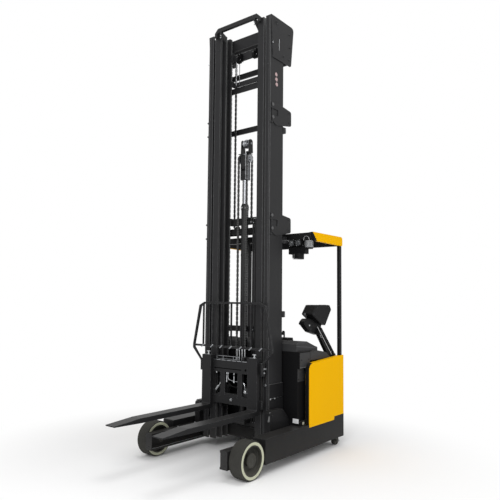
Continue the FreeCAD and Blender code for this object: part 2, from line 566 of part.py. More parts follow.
def rear_wheels():
    low = "DriveX - DriveWide / 2"
    hub = (low, "DriveY", "DriveRadius")
    node("drive_tyre", ring("drive_tyre_ring", "X", (
        ("DriveBand", 0), ("DriveRadius - TreadChamfer", 0), ("DriveRadius", "TreadChamfer"),
        ("DriveRadius", "DriveWide - TreadChamfer"), ("DriveRadius - TreadChamfer", "DriveWide"),
        ("DriveBand", "DriveWide"),
    ), hub))
    node("drive_rim", ring("drive_rim_ring", "X", (
        ("AxleRadius + RodPlay", "DriveWide / 5"), ("DriveBand - Seat", "DriveWide / 5"),
        ("DriveBand - Seat", "DriveWide * 4 / 5"), ("AxleRadius + RodPlay", "DriveWide * 4 / 5"),
    ), hub))
    side = "DriveX + DriveWide / 2 + Gap"
    table = bar("turntable", "Z", "DriveMotor + 45", "DriveTop - 45", "DriveTop - Seat",
                ("DriveX", "DriveY"))
    cheek = outline("cheek", "YZ", (
        ("DriveY - 60", "DriveRadius - 60"), ("DriveY + 60", "DriveRadius - 60"),
        ("DriveY + 90", "DriveTop - 45"),
        ("DriveY - 90", "DriveTop - 45"),
    ), side, f"{side} + 34", [((0, 1), 30)])
    axle = bar("drive_axle", "X", "AxleRadius", f"{low} + Plate", f"{side} + 10",
               ("DriveY", "DriveRadius"))
    node("drive_yoke", fuse("yoke", [table, cheek, axle]))
    crown = "CasterRadius * 2 + 20"
    stem = bar("caster_stem", "Z", 24, crown, "PanelBottom - Plate - Seat", ("CasterX", "CasterY"))
    plate = bar("caster_plate", "Z", 44, "CasterRadius * 2 + Gap", crown, ("CasterX", "CasterY"))
    cheek = outline("caster_cheek", "YZ", (
        ("CasterY + CasterTrail - 16", "CasterRadius - 14"),
        ("CasterY + CasterTrail + 16", "CasterRadius - 14"),
        ("CasterY + 34", crown), ("CasterY - 26", crown),
    ), "CasterX - CasterWide / 2 - 9", "CasterX - CasterWide / 2 - 1")
    other = outline("caster_cheek_outer", "YZ", (
        ("CasterY + CasterTrail - 16", "CasterRadius - 14"),
        ("CasterY + CasterTrail + 16", "CasterRadius - 14"),
        ("CasterY + 34", crown), ("CasterY - 26", crown),
    ), "CasterX + CasterWide / 2 + 1", "CasterX + CasterWide / 2 + 9")
    pin = bar("caster_pin", "X", 8, "CasterX - CasterWide / 2 - 9", "CasterX + CasterWide / 2 + 9",
              ("CasterY + CasterTrail", "CasterRadius"))
    node("caster_yoke", fuse("caster_fork", [stem, plate, pin, cheek, other]))
    node("caster_wheel", ring("caster_ring", "X", (
        ("8 + RodPlay", 0), ("CasterRadius", 0), ("CasterRadius", "CasterWide"),
        ("8 + RodPlay", "CasterWide"),
    ), ("CasterX - CasterWide / 2", "CasterY + CasterTrail", "CasterRadius")))


def rail(name, face, wide, web, flange, front, rear, top, bottom):
    """A mast rail: a channel open towards the middle of the truck."""
    inner = f"{face} - {wide}"
    return outline(name, "XY", (
        (face, front), (face, rear), (inner, rear), (inner, f"{rear} - {flange}"),
        (f"{face} - {web}", f"{rear} - {flange}"),
        (f"{face} - {web}", f"{front} + {flange}"), (inner, f"{front} + {flange}"), (inner, front),
    ), bottom, top)


def yoke_tie(name, outer, leg, front, cross, low, high):
    """A U-shaped tie in plan: a cross bar behind, with a leg forward to the rail at each end."""
    rear = f"{cross} + TieThick"
    return outline(name, "XY", (
        (f"-({outer})", front), (f"{leg} - ({outer})", front), (f"{leg} - ({outer})", cross),
        (f"{outer} - {leg}", cross), (f"{outer} - {leg}", front), (outer, front), (outer, rear),
        (f"-({outer})", rear),
    ), low, high)


def rollers(name, radius, start, end, stub_start, middle):
    """A low and a high guide roller on their stub axles."""
    pieces = []
    for number, height in enumerate(("RollerLowZ", "RollerHighZ")):
        pieces.append(bar(f"{name}_roller{number}", "X", radius, start, end, (middle, height)))
        pieces.append(peg(f"{name}_stub{number}", "X", "AxleRadius - Gap", stub_start, f"{start} + 2",
                          (middle, height)))
    return pieces


def outer_stage():
    """Outer rails, with side plates that reach back past the cylinders and bars between them."""
    rails = pair("outer_pair", rail("outer_rail", "OuterFace", "OuterWide", "OuterWeb", "OuterFlange",
                                   "MastFrontY", "OuterRearY", "MastTop", "MastBottom"))
    node("outer_rails", rails)
    near, far = "OuterFace + Seat", "OuterFace + Seat + SidePlate"
    plates = [outline("head_plate", "YZ", (
        ("MastFrontY", "MastTop"), ("MastFrontY + 31", "PlateHighZ"), ("MastFrontY + 362", "PlateHighZ"),
        ("MastFrontY + 411", "MastTop"),
    ), near, far, [((3,), 40), ((2,), 25)])]
    for number, low in enumerate(("PlateMidZ", "PlateLowZ")):
        plate = outline(f"tie_plate{number}", "YZ", (
            ("MastFrontY + 16", f"{low} + 228"), ("MastFrontY + 29", f"{low} + 36"),
            ("MastFrontY + 106", low),
            ("MastFrontY + 370", f"{low} + 55"), ("MastFrontY + 369", f"{low} + 211"),
            ("OuterRearY", f"{low} + 228"),
        ), near, far, [((3, 4), 25)])
        window = box(f"plate_window{number}", ("OuterFace", "MastFrontY + 40", f"{low} + 100"),
                     (f"{far} + 1", "MastFrontY + 130", f"{low} + 168"))
        plates.append(cut(f"tie_plate_cut{number}", plate, window))
    crosses = []
    for number, low in enumerate(("PlateLowZ + 70", "PlateMidZ + 88", "PlateHighZ + 30",
                                  "MastTop - 100")):
        crosses.append(box(f"outer_cross{number}", ("-OuterFace", "CrossY", low),
                           ("OuterFace", "CrossY + 2 * TieThick", f"{low} + 60")))
    anchor = box("outer_anchor", ("ChainX - ChainWide / 2",
                                  "ChainSheaveY + ChainRadius + ChainThick / 2 + Seat",
                                  "ChainAnchorZ - 60"),
                 ("ChainX + ChainWide / 2", "CrossY + 1", "ChainAnchorZ + 20"))
    crosses[0] = fuse("outer_cross_anchors", [crosses[0]] + both("outer_anchor", [anchor]))
    node("outer_ties", gather("outer_tie_set", both("side_plates", plates) + crosses))
    mouth = "LiftBarrelTop - LiftBase"
    barrel = ring("lift_barrel", "Z", (
        ("LiftBore", "Plate"), ("LiftBore", f"{mouth} - 5 * Plate"),
        ("LiftRod + RodPlay", f"{mouth} - 5 * Plate"),
        ("LiftRod + RodPlay", mouth), ("LiftBarrel", mouth), ("LiftBarrel", 0), (0, 0), (0, "Plate"),
    ), ("LiftX", "LiftY", "LiftBase"))
    node("lift_cylinders", pair("lift_barrels", barrel))


def reach_carriage():
    """Cradle under the mast: side plates, a cross beam, and rollers that run in the leg channels."""
    rear = "BulkheadY - Gap - 2"
    beam_top = "LiftBase - Seat"
    cross = box("reach_cross", ("-OuterFace - Seat", "OuterRearY + Seat", "MastBottom + 4"),
                ("OuterFace + Seat", rear, beam_top))
    tongue = box("reach_tongue", ("OuterWide - OuterFace + Seat", "OuterRearY - OuterFlange / 2",
                                  "MastBottom + 4"),
                 ("OuterFace - OuterWide - Seat", "OuterRearY + 10", beam_top))
    inner, outer = "OuterFace + Seat", "OuterFace + Seat + SidePlate"
    plate = outline("reach_plate", "YZ", (
        ("MastFrontY", "MastBottom + 4"), (rear, "MastBottom + 4"), (rear, f"{beam_top}"),
        ("OuterRearY + Plate", "WingTop"),
        ("OuterRearY + Plate", "ReachPlateTop"), ("MastFrontY", "ReachPlateTop"),
    ), inner, outer)
    wing = outline("wing", "YZ", (
        ("WingFrontY", "LegTop + Gap"), ("WingFrontY", "WingTop - 2 * Plate"),
        ("WingFrontY + 2 * Plate", "WingTop"),
        ("BulkheadY - 120", "WingTop"), (rear, "WingTop - 115"), (rear, "LegTop + Gap"),
    ), f"{outer} - 2", f"{outer} + WingOut")
    pieces = [plate, wing]
    for number, y in enumerate(("MastFrontY + 60", "BulkheadY - 80")):
        pieces.append(bar(f"reach_roller{number}", "X",
                          "(LegTop - LegBottom) / 2 - LegFlange - RollerPlay",
                          "LegInner + Gap", "LegOuter - LegWeb - 4", (y, "LegMiddleZ")))
        pieces.append(peg(f"reach_pin{number}", "X", "AxleRadius - 2", f"{outer} - 2", "LegInner + 10",
                          (y, "LegMiddleZ")))
    lug = box("reach_lug", ("ReachRodX - 30", "BulkheadY - 60", "ReachRodZ - 30"),
              ("ReachRodX + 30", "BulkheadY - 7", "ReachRodZ + 30"))
    body = fuse("reach_body", both("reach", pieces) + [cross, tongue, lug])
    rod = bar("reach_rod", "Y", "ReachRod", "BulkheadY - 7 + Seat", "BulkheadY + 640",
              ("ReachRodX", "ReachRodZ"))
    node("reach_carriage", gather("reach_whole", [body, rod]))


def middle_stage():
    """Middle rails between the outer ones, and the head that the lift rods push."""
    rails = rail("middle_rail", "MiddleFace", "MiddleWide", "MiddleWeb", "MiddleFlange",
                 "MastFrontY", "MiddleRearY", "MastTop", "MastBottom + 5")
    guides = rollers("middle", "OuterDeep / 2 - OuterFlange - RollerPlay", "OuterFace - OuterWeb - 46",
                     "OuterFace - OuterWeb - 3",
                     "MiddleFace - 2", "MastFrontY + OuterDeep / 2")
    node("middle_rails", pair("middle_pair", fuse("middle_side", [rails] + guides)))
    ties = []
    for number, (low, high) in enumerate((
        ("MastTop - 141", "MastTop - 11"), ("MastTop - 641", "MastTop - 574"),
        ("MidTieZ", "MidTieZ + 57"),
        ("LowTieZ", "LowTieZ + 60"), ("MastBottom + 140", "MastBottom + 200"),
    )):
        ties.append(yoke_tie(f"middle_tie{number}", "MiddleFace - MiddleWide + TieLeg", "TieLeg",
                             "MiddleRearY", "MiddleTieY", low, high))
    shelf = box("middle_shelf", ("MiddleFace - MiddleWide", "MiddleRearY", "LiftRodTop + Seat"),
                ("LiftX + LiftBarrel", "LiftY + LiftBarrel", "LiftRodTop + 30"))
    side = "ChainX + ChainWide / 2"
    cheek = box("sheave_cheek", (f"{side} + 4", "MiddleRearY", "ChainSheaveZ - 30"),
                (f"{side} + 14", "ChainSheaveY + 30", "LiftRodTop + 10"))
    pin = peg("sheave_pin", "X", 14, "ChainX - ChainWide / 2", f"{side} + Gap + 2",
              ("ChainSheaveY", "ChainSheaveZ"))
    sheave = bar("sheave", "X", "ChainRadius - ChainThick / 2 - Seat", "ChainX - ChainWide / 2", side,
                 ("ChainSheaveY", "ChainSheaveZ"))
    ties[0] = fuse("middle_head", [ties[0]] + both("middle_head",
                                                   [fuse("head_side", [shelf, cheek, pin, sheave])]))
    node("middle_ties", gather("middle_tie_set", ties))
    node("lift_rods", pair("rods",
                           bar("lift_rod", "Z", "LiftRod", "LiftRodBottom", "LiftRodTop",
                               ("LiftX", "LiftY"))))


def belt(name, x, sheave_y, sheave_z, radius, front_end, rear_end):
    """A chain over a sheave: two straight runs and the half turn between them."""
    low, high = f"{x} - ChainWide / 2", f"{x} + ChainWide / 2"
    inside, outside = f"({radius} - ChainThick / 2)", f"({radius} + ChainThick / 2)"
    front = box(name + "_front", (low, f"{sheave_y} - {outside}", front_end),
                (high, f"{sheave_y} - {inside}", sheave_z))
    rear = box(name + "_rear", (low, f"{sheave_y} + {inside}", rear_end),
               (high, f"{sheave_y} + {outside}", sheave_z))
    over = cut(name + "_turn", bar(name + "_over", "X", outside, low, high, (sheave_y, sheave_z)),
               bar(name + "_under", "X", inside, f"{low} - 1", f"{high} + 1", (sheave_y, sheave_z)))
    upper = add("Part::Common", name + "_arc")
    upper.Base = over
    upper.Tool = box(name + "_above", (f"{low} - 1", f"{sheave_y} - {outside} - 1", sheave_z),
                     (f"{high} + 1", f"{sheave_y} + {outside} + 1", f"{sheave_z} + {outside} + 1"))
    return fuse(name, [front, rear, upper])


def inner_stage():
    """Inner rails with their ties, the centre cylinder, the top handle bar and the outer chains."""
    rails = rail("inner_rail", "InnerFace", "InnerWide", "InnerWeb", "InnerFlange", "InnerFrontY",
                 "InnerRearY",
                 "MastTop - 25", "MastBottom + 10")
    guides = rollers("inner", "MiddleDeep / 2 - MiddleFlange - RollerPlay", "InnerFace + 3",
                     "MiddleFace - MiddleWeb - 3",
                     "InnerFace - 2", "MastFrontY + MiddleDeep / 2")
    anchor = box("chain_anchor", ("ChainX - ChainWide / 2 - 2", "InnerRearY", "ChainBottom"),
                 ("ChainX + ChainWide / 2 + 2", "ChainSheaveY - ChainRadius - ChainThick / 2 - Seat",
                  "ChainBottom + 70"))
    node("inner_rails", pair("inner_pair", fuse("inner_side", [rails, anchor] + guides)))
    ties = []
    for number, (low, high) in enumerate((
        ("MastTop - 291", "MastTop - 201"), ("MastTop - 576", "MastTop - 521"),
        ("FreeChainAnchorZ - 10", "FreeChainAnchorZ + 70"),
        ("LowTieZ", "LowTieZ + 50"), ("FreeBarrelBottom - 40", "FreeBarrelBottom"),
    )):
        ties.append(yoke_tie(f"inner_tie{number}", "InnerFace - InnerWide", "TieLeg",
                             "InnerRearY - InnerFlange", "InnerTieY", low, high))
    foot = box("free_foot", ("-1.5 * FreeBarrel", "FreeY - FreeBarrel - Gap", "FreeBarrelBottom - 40"),
               ("1.5 * FreeBarrel", "InnerTieY + 5", "FreeBarrelBottom"))
    clamp = cut("free_clamp", box("clamp_block", ("-FreeBarrel - 2", "FreeY + 5", "FreeChainAnchorZ - 5"),
                                  ("FreeBarrel + 2", "InnerTieY + 5", "FreeChainAnchorZ + 65")),
                bar("clamp_bore", "Z", "FreeBarrel + Seat", "FreeChainAnchorZ - 10",
                    "FreeChainAnchorZ + 70", (0, "FreeY")))
    lug = box("chain_lug", ("FreeChainX - ChainWide / 2",
                            "FreeY + FreeSheaveRadius + ChainThick / 2 + Seat", "FreeChainAnchorZ"),
              ("FreeChainX + ChainWide / 2", "InnerTieY + 5", "FreeChainAnchorZ + 60"))
    ties[2] = fuse("clamp_tie", [ties[2], clamp] + both("chain_lug", [lug]))
    ties[4] = fuse("foot_tie", [ties[4], foot])
    node("inner_ties", gather("inner_tie_set", ties))
    front, rear = "MastFrontY - Gap - HandleDeep", "MastFrontY - Gap"
    handle = outline("handle", "XZ", (
        ("-HandleHalf", "HandleUnder - 50"), ("-HandleHalf", "HandleUnder"),
        ("HandleTall - HandleHalf", "HandleTop"),
        ("HandleHalf - HandleTall", "HandleTop"), ("HandleHalf", "HandleUnder"),
        ("HandleHalf", "HandleUnder - 50"),
        ("HandleHalf - 30", "HandleUnder - 50"), ("HandleHalf - 30", "HandleUnder - 14"),
        ("HandleHalf - HandleTall - 10", "HandleUnder"),
        ("HandleTall + 10 - HandleHalf", "HandleUnder"), ("30 - HandleHalf", "HandleUnder - 14"),
        ("30 - HandleHalf", "HandleUnder - 50"),
    ), front, rear)
    bracket = outline("handle_bracket", "YZ", (
        (f"{front} + 4", "HandleUnder + 4"), (f"{front} + 4", "HandleUnder - 20"),
        ("InnerFrontY - Seat", "MastTop - 105"),
        ("InnerFrontY - Seat", "MastTop - 25"), (f"{rear} - 4", "HandleUnder + 4"),
    ), "InnerFace - InnerWide + 2", "InnerFace - InnerWide + 2 + TieLeg")
    node("mast_top_bar", fuse("top_bar", [handle] + both("top_bar", [bracket])))
    mouth = "FreeBarrelTop - FreeBarrelBottom"
    barrel = ring("free_barrel", "Z", (
        ("FreeBore", "Plate"), ("FreeBore", f"{mouth} - 5 * Plate"),
        ("FreeRod + RodPlay", f"{mouth} - 5 * Plate"),
        ("FreeRod + RodPlay", mouth), ("FreeBarrel", mouth), ("FreeBarrel", 0), (0, 0), (0, "Plate"),
    ), (0, "FreeY", "FreeBarrelBottom + Seat"))
    node("free_lift_cylinder", barrel)
    left = belt("lift_chain", "ChainX", "ChainSheaveY", "ChainSheaveZ", "ChainRadius", "ChainBottom",
                "ChainAnchorZ")
    node("lift_chains", pair("lift_chain_pair", left))


def rod_head():
    """The centre rod with its head: two chain sheaves and a hose pulley above them."""
    rod = bar("free_rod", "Z", "FreeRod", "FreeRodBottom", "FreeRodTop + 5", (0, "FreeY"))
    block = box("head_block", ("-HeadHalf", "FreeY - 0.9 * HeadHalf", "FreeRodTop"),
                ("HeadHalf", "FreeY + 0.9 * HeadHalf", "FreeSheaveZ + HeadHalf"))
    far = "FreeChainX + ChainWide / 2"
    pin = peg("head_pin", "X", "HeadHalf / 2", f"-({far})", far, ("FreeY", "FreeSheaveZ"))
    sheave = bar("head_sheave", "X", "FreeSheaveRadius - ChainThick / 2 - Seat",
                 "FreeChainX - ChainWide / 2", far, ("FreeY", "FreeSheaveZ"))
    pulley = bar("head_pulley", "X", "PulleyRadius", "-0.75 * HeadHalf", "0.75 * HeadHalf",
                 ("FreeY", "FreeSheaveZ + PulleyRise"))
    neck = box("head_neck", ("-0.9 * HeadHalf", "FreeY - 0.75 * HeadHalf", "FreeSheaveZ + HeadHalf"),
               ("0.9 * HeadHalf", "FreeY + 0.75 * HeadHalf", "FreeSheaveZ + PulleyRise"))
    node("free_lift_rod", fuse("rod_head",
                               [rod, block, pin, pulley, neck] + both("head_sheave", [sheave])))
    left = belt("free_chain", "FreeChainX", "FreeY", "FreeSheaveZ", "FreeSheaveRadius", "FreeChainBottom",
                "FreeChainAnchorZ")
    node("free_lift_chains", pair("free_chain_pair", left))


def lift_carriage():
    """Roller frame inside the inner rails, with the ears and pins that the fork frame tilts on."""
    plate = outline("lift_plate", "YZ", (
        ("LiftFrontY", "ForkTop - 30"), ("FreeY", "ForkTop - 30"), ("FreeY", "BarTop - 5"),
        ("LiftFrontY", "BarTop - 5"),
    ), "LiftPlateX - LiftPlate", "LiftPlateX", [((1, 2), "LiftBar")])
    pieces = [plate]
    for number, height in enumerate(("ForkTop + 30", "RollerHighZ")):
        place_yz = ("(InnerFrontY + InnerRearY) / 2", height)
        pieces.append(bar(f"lift_roller{number}", "X", "InnerDeep / 2 - InnerFlange - RollerPlay",
                          "InnerFace - InnerWide + 3",
                          "InnerFace - InnerWeb - 3", place_yz))
        pieces.append(peg(f"lift_stub{number}", "X", 16, "LiftPlateX - 2", "InnerFace - InnerWide + 6",
                          place_yz))
    upper = box("lift_upper", ("-LiftPlateX", "LiftFrontY", "BarTop - 115"),
                ("LiftPlateX", "LiftFrontY + LiftBar", "BarTop - 5"))
    lower = box("lift_lower", ("-LiftPlateX", "LiftFrontY", "LowBarTop - LowBarTall + 15"),
                ("LiftPlateX", "LiftFrontY + LiftBar", "LowBarTop + 20"))
    pieces.append(box("free_anchor", ("FreeChainX - 20", "LiftFrontY + 30", "FreeChainBottom - 20"),
                      ("FreeChainX + 20", "FreeY - FreeSheaveRadius - ChainThick / 2 - Seat",
                       "FreeChainBottom + 20")))
    for number, near in enumerate(("TiltX - 30", "TiltX + 18")):
        pieces.append(box(f"tilt_ear{number}", (near, "TiltY - 14", "BarTop - 7"),
                          (f"{near} + Plate", "TiltY + 14", "TiltZ + 16")))
    pieces.append(bar("tilt_pin", "X", "TiltPin", "TiltX - 30", "TiltX + 30", ("TiltY", "TiltZ")))
    pieces.append(box("tilt_post", ("TiltX - 44", "LiftFrontY + 4", "LowBarTop + 15"),
                      ("TiltX - 12", "LiftFrontY + 38", "TiltRodZ + 8")))
    place_xz = ("TiltX - 28", "TiltRodZ")
    tube = bar("tilt_tube", "Y", 25, "LiftFrontY", "LiftFrontY + 60", place_xz)
    bore = bar("tilt_bore", "Y", 17, "LiftFrontY - 20", "LiftFrontY + 52", place_xz)
    side = cut("lift_side", fuse("lift_side_whole", pieces + [tube]), bore)
    node("lift_frame", fuse("lift_whole", both("lift", [side]) + [upper, lower]))


def fork_carriage():
    """Fork frame, the two forks hooked over its upper bar, and the load backrest."""
    front = "FrameBackY - BarThick"
    upper = box("fork_upper", ("-BarHalf", front, "BarTop - BarTall"),
                ("BarHalf", "FrameBackY", "BarTop"))
    lower = box("fork_lower", ("-BarHalf", front, "LowBarTop - LowBarTall"),
                ("BarHalf", "FrameBackY", "LowBarTop"))
    web = box("fork_web", ("TiltX - 50", front, "LowBarTop - 10"),
              ("TiltX + 10", "FrameBackY", "BarTop - BarTall + 10"))
    ear = outline("fork_ear", "YZ", (
        ("FrameBackY - 2", "BarTop - 70"), ("FrameBackY + 12", "BarTop - 70"),
        ("FrameBackY + 12", "BarTop + 3"),
        ("TiltY + 14", "BarTop + 3"), ("TiltY + 14", "TiltZ + 18"), ("FrameBackY - 2", "TiltZ + 18"),
    ), "TiltX - 15", "TiltX + 15")
    eye = bar("fork_eye", "X", "TiltPin + RodPlay", "TiltX - 16", "TiltX + 16", ("TiltY", "TiltZ"))
    rod = bar("tilt_rod", "Y", 10, "FrameBackY - 2", "LiftFrontY + 40", ("TiltX - 28", "TiltRodZ"))
    node("fork_frame", fuse("fork_frame_whole",
                            [upper, lower] + both("fork_half",
                                                  [web, cut("fork_ear_bored", ear, eye), rod])))
    near, far = "ForkX - ForkWide / 2", "ForkX + ForkWide / 2"
    fork = outline("fork", "YZ", (
        ("ForkTipY", "ForkTop - 25"), ("ForkTipY", "ForkTop - 35"),
        ("ForkTipY + ForkTaper", "ForkTop - ForkThick"),
        ("ShankRearY - 1.8", "ForkTop - ForkThick"), ("ShankRearY - 1.8", "ShankTop"),
        ("ShankFrontY", "ShankTop"),
        ("ShankFrontY", "ForkTop"), ("ForkTipY + ForkTaper", "ForkTop"),
    ), near, far, [((3,), 30), ((6,), 18)])
    hook = box("fork_hook", (near, "ShankRearY - 5", "BarTop + Seat"),
               (far, "FrameBackY - 10", "ShankTop"))
    left = fuse("fork_left_whole", [fork, hook])
    node("fork_left", left)
    node("fork_right", mirrored("fork_right_whole", left))
    rest_back = "RestFrontY + BackrestDeep"
    pieces = []
    for number in range(-3, 4):
        x = f"{number} * BackrestPitch"
        pieces.append(box(f"rest_bar{number + 3}",
                          (f"{x} - BackrestRod / 2", "RestFrontY + 3", "BackrestMidZ - 2"),
                          (f"{x} + BackrestRod / 2", f"{rest_back} - 3",
                           "BackrestTop - BackrestBar + 2")))
    pieces.append(box("rest_middle",
                      ("BackrestBar - BackrestFlare", "RestFrontY", "BackrestMidZ - BackrestBar"),
                      ("BackrestFlare - BackrestBar", rest_back, "BackrestMidZ")))
    rim = outline("rest_rim", "XZ", (
        ("-BackrestHalf", "BackrestTop"), ("BackrestHalf", "BackrestTop"),
        ("BackrestShoulder", "BackrestTop - 36"),
        ("BackrestFlare", "BackrestMidZ"), ("BackrestFlare", "BackrestMidZ - 2 * BackrestBar"),
        ("BarHalf + 17", "BackrestFootZ"),
        ("-BarHalf - 17", "BackrestFootZ"), ("-BackrestFlare", "BackrestMidZ - 2 * BackrestBar"),
        ("-BackrestFlare", "BackrestMidZ"),
        ("-BackrestShoulder", "BackrestTop - 36"),
    ), "RestFrontY", rest_back)
    inside = "1.05 * BackrestBar"
    opening = outline("rest_opening", "XZ", (
        ("5 - BackrestHalf", "BackrestTop - BackrestBar"),
        ("BackrestHalf - 5", "BackrestTop - BackrestBar"),
        (f"BackrestShoulder - {inside}", "BackrestTop - 52"),
        (f"BackrestFlare - {inside}", "BackrestMidZ"),
        (f"BackrestFlare - {inside}", "BackrestMidZ - 1.6 * BackrestBar"),
        ("BarHalf + 1", "BackrestFootZ - 1"),
        ("-BarHalf - 1", "BackrestFootZ - 1"),
        (f"{inside} - BackrestFlare", "BackrestMidZ - 1.6 * BackrestBar"),
        (f"{inside} - BackrestFlare", "BackrestMidZ"),
        (f"{inside} - BackrestShoulder", "BackrestTop - 52"),
    ), "RestFrontY - 1", f"{rest_back} + 1")
    pieces.append(cut("rest_frame", rim, opening))
    foot = box("rest_foot", ("BarHalf + Seat", "RestFrontY", "BarTop - BarTall"),
               ("BarHalf + 17", "FrameBackY", "BackrestFootZ + 10"))
    node("load_backrest", fuse("rest", pieces + both("rest", [foot])))


def finish():
    doc.recompute()
    for each in doc.Objects:
        if "Invalid" in each.State or "Error" in each.State:
            raise RuntimeError(f"{each.Name} failed: {each.State}")
    os.makedirs("parts", exist_ok=True)
    for piece in nodes:
        if piece.Shape.isNull() or not piece.Shape.isValid() or not piece.Shape.Solids:
            raise RuntimeError(f"{piece.Label} has no valid solid")
        piece.Shape.exportStep(f"parts/{piece.Label}.step")


load_wheels()
legs()
chassis()
bodywork()
side_panels()
compartment()
guard()
controls()
rear_wheels()
outer_stage()
reach_carriage()
middle_stage()
inner_stage()
rod_head()
lift_carriage()
fork_carriage()
finish()
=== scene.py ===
"""Finishes, fittings and studio stage for a stand-on reach truck, in metres.

+X is the truck's left, -Y its forks, +Z up, with the floor at zero.
"""

import math

import bmesh
import bpy
from mathutils import Matrix, Vector


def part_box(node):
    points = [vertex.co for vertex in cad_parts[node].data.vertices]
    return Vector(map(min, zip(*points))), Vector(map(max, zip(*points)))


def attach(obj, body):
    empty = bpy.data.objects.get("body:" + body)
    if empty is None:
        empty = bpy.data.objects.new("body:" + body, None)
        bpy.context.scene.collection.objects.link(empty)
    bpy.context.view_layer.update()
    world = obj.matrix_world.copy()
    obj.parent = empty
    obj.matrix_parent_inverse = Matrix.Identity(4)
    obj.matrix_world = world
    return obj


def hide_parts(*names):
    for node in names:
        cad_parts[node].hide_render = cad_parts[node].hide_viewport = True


bl_info = {
    "name": "Reach Truck Dressing",
    "version": (1, 0, 0),
    "blender": (4, 5, 0),
    "location": "View3D > Sidebar > Reach Truck",
    "description": "Gives the reach truck its paint, wheels, chains and fittings, and sets the studio",
    "category": "Object",
}

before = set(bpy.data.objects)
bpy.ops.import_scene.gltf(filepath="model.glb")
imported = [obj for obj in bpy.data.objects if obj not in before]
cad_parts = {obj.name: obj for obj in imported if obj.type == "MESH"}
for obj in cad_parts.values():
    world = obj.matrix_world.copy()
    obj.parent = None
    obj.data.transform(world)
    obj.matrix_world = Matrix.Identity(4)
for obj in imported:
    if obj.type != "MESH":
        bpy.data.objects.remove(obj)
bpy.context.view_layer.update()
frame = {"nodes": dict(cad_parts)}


def tone(*parts):
    """A linear colour from its everyday values of 0 to 255."""
    return tuple(((part / 255 + 0.055) / 1.055) ** 2.4 if part > 10 else part / 3294.6 for part in parts)


def shade(name, about, *parts):
    return bpy.props.FloatVectorProperty(
        name=name, description=about, subtype="COLOR", size=3, min=0, max=1, default=tone(*parts))


def size(name, about, default, low=0.0):
    return bpy.props.FloatProperty(
        name=name, description=about, subtype="DISTANCE", unit="LENGTH", default=default, min=low)


def number_of(name, about, default, **kind):
    return bpy.props.FloatProperty(name=name, description=about, default=default, **kind)


class TruckColours(bpy.types.PropertyGroup):
    """Colours of the paints, mouldings and bare metals."""
    mast: shade("Mast paint", "Dark grey paint of the mast", 37, 37, 38)
    frame: shade("Frame paint", "Dark grey paint of the legs, chassis, skirts and guard posts", 26, 26, 27)
    carriage: shade("Carriage paint", "Black paint of the fork carriage and forks", 31, 31, 32)
    yellow: shade("Body yellow", "Yellow of the side panels and roof edges", 241, 181, 0)
    cover: shade("Cover grey", "Dark grey of the battery cover and bay", 18, 18, 19)
    console: shade("Console grey", "Grey moulding of the console, armrest and rear cover", 52, 52, 53)
    cream: shade("Tyre side", "Pale side of the moulded tyres", 190, 192, 168)
    tread: shade("Tread", "Running face of the tyres", 44, 44, 42)
    steel: shade("Bare steel", "Pins, chains and turned steel", 150, 152, 155)
    zinc: shade("Plated steel", "Bolts and pipe fittings", 182, 184, 186)


class TruckSizes(bpy.types.PropertyGroup):
    """Sizes of the repeated fittings."""
    chain_pitch: size("Chain pitch", "Distance between chain pins", 0.0254, 0.01)
    chain_plate: size("Chain plate", "Height of a chain plate", 0.013, 0.004)
    bolt: size("Bolt head", "Width of a bolt head across its corners", 0.017, 0.002)
    edge: size("Edge round", "Rounding that the paint shows on sheared edges", 0.0018)
    pipe: size("Pipe", "Diameter of the rigid oil pipes", 0.010, 0.002)
    mat_rib: size("Mat rib", "Pitch of the floor mat's ribs", 0.024, 0.008)


class TruckStage(bpy.types.PropertyGroup):
    """Camera and lights."""
    heading: number_of("Heading", "Turn of the camera about the vertical", math.radians(38.477), subtype="ANGLE")
    pitch: number_of("Pitch", "Upward tilt of the camera", math.radians(4.224), subtype="ANGLE")
    roll: number_of("Roll", "Roll of the camera", math.radians(0.567), subtype="ANGLE")
    place: bpy.props.FloatVectorProperty(
        name="Camera place", description="Where the camera stands", subtype="TRANSLATION", size=3,
        default=(3.6783, -4.2694, 1.5703))
    lens: number_of("Lens", "Focal length in millimetres", 39.308, min=10)
    rise: number_of("Rise", "Vertical shift of the lens", 0.0207)
    sky: number_of("Sky", "Strength of the even light from all round", 0.54, min=0)
    key: number_of("Key", "Power of the main lamp", 210, subtype="POWER", min=0)
    fill: number_of("Fill", "Power of the front and side lamps", 48, subtype="POWER", min=0)
    top: number_of("Top", "Power of the overhead lamp", 110, subtype="POWER", min=0)


def sizes():
    return bpy.context.scene.truck_sizes


# Shader groups

FLOAT, COLOUR, VECTOR = "NodeSocketFloat", "NodeSocketColor", "NodeSocketVector"
GREY = (0.5, 0.5, 0.5, 1)
shader_groups = {}
made_finishes = {}


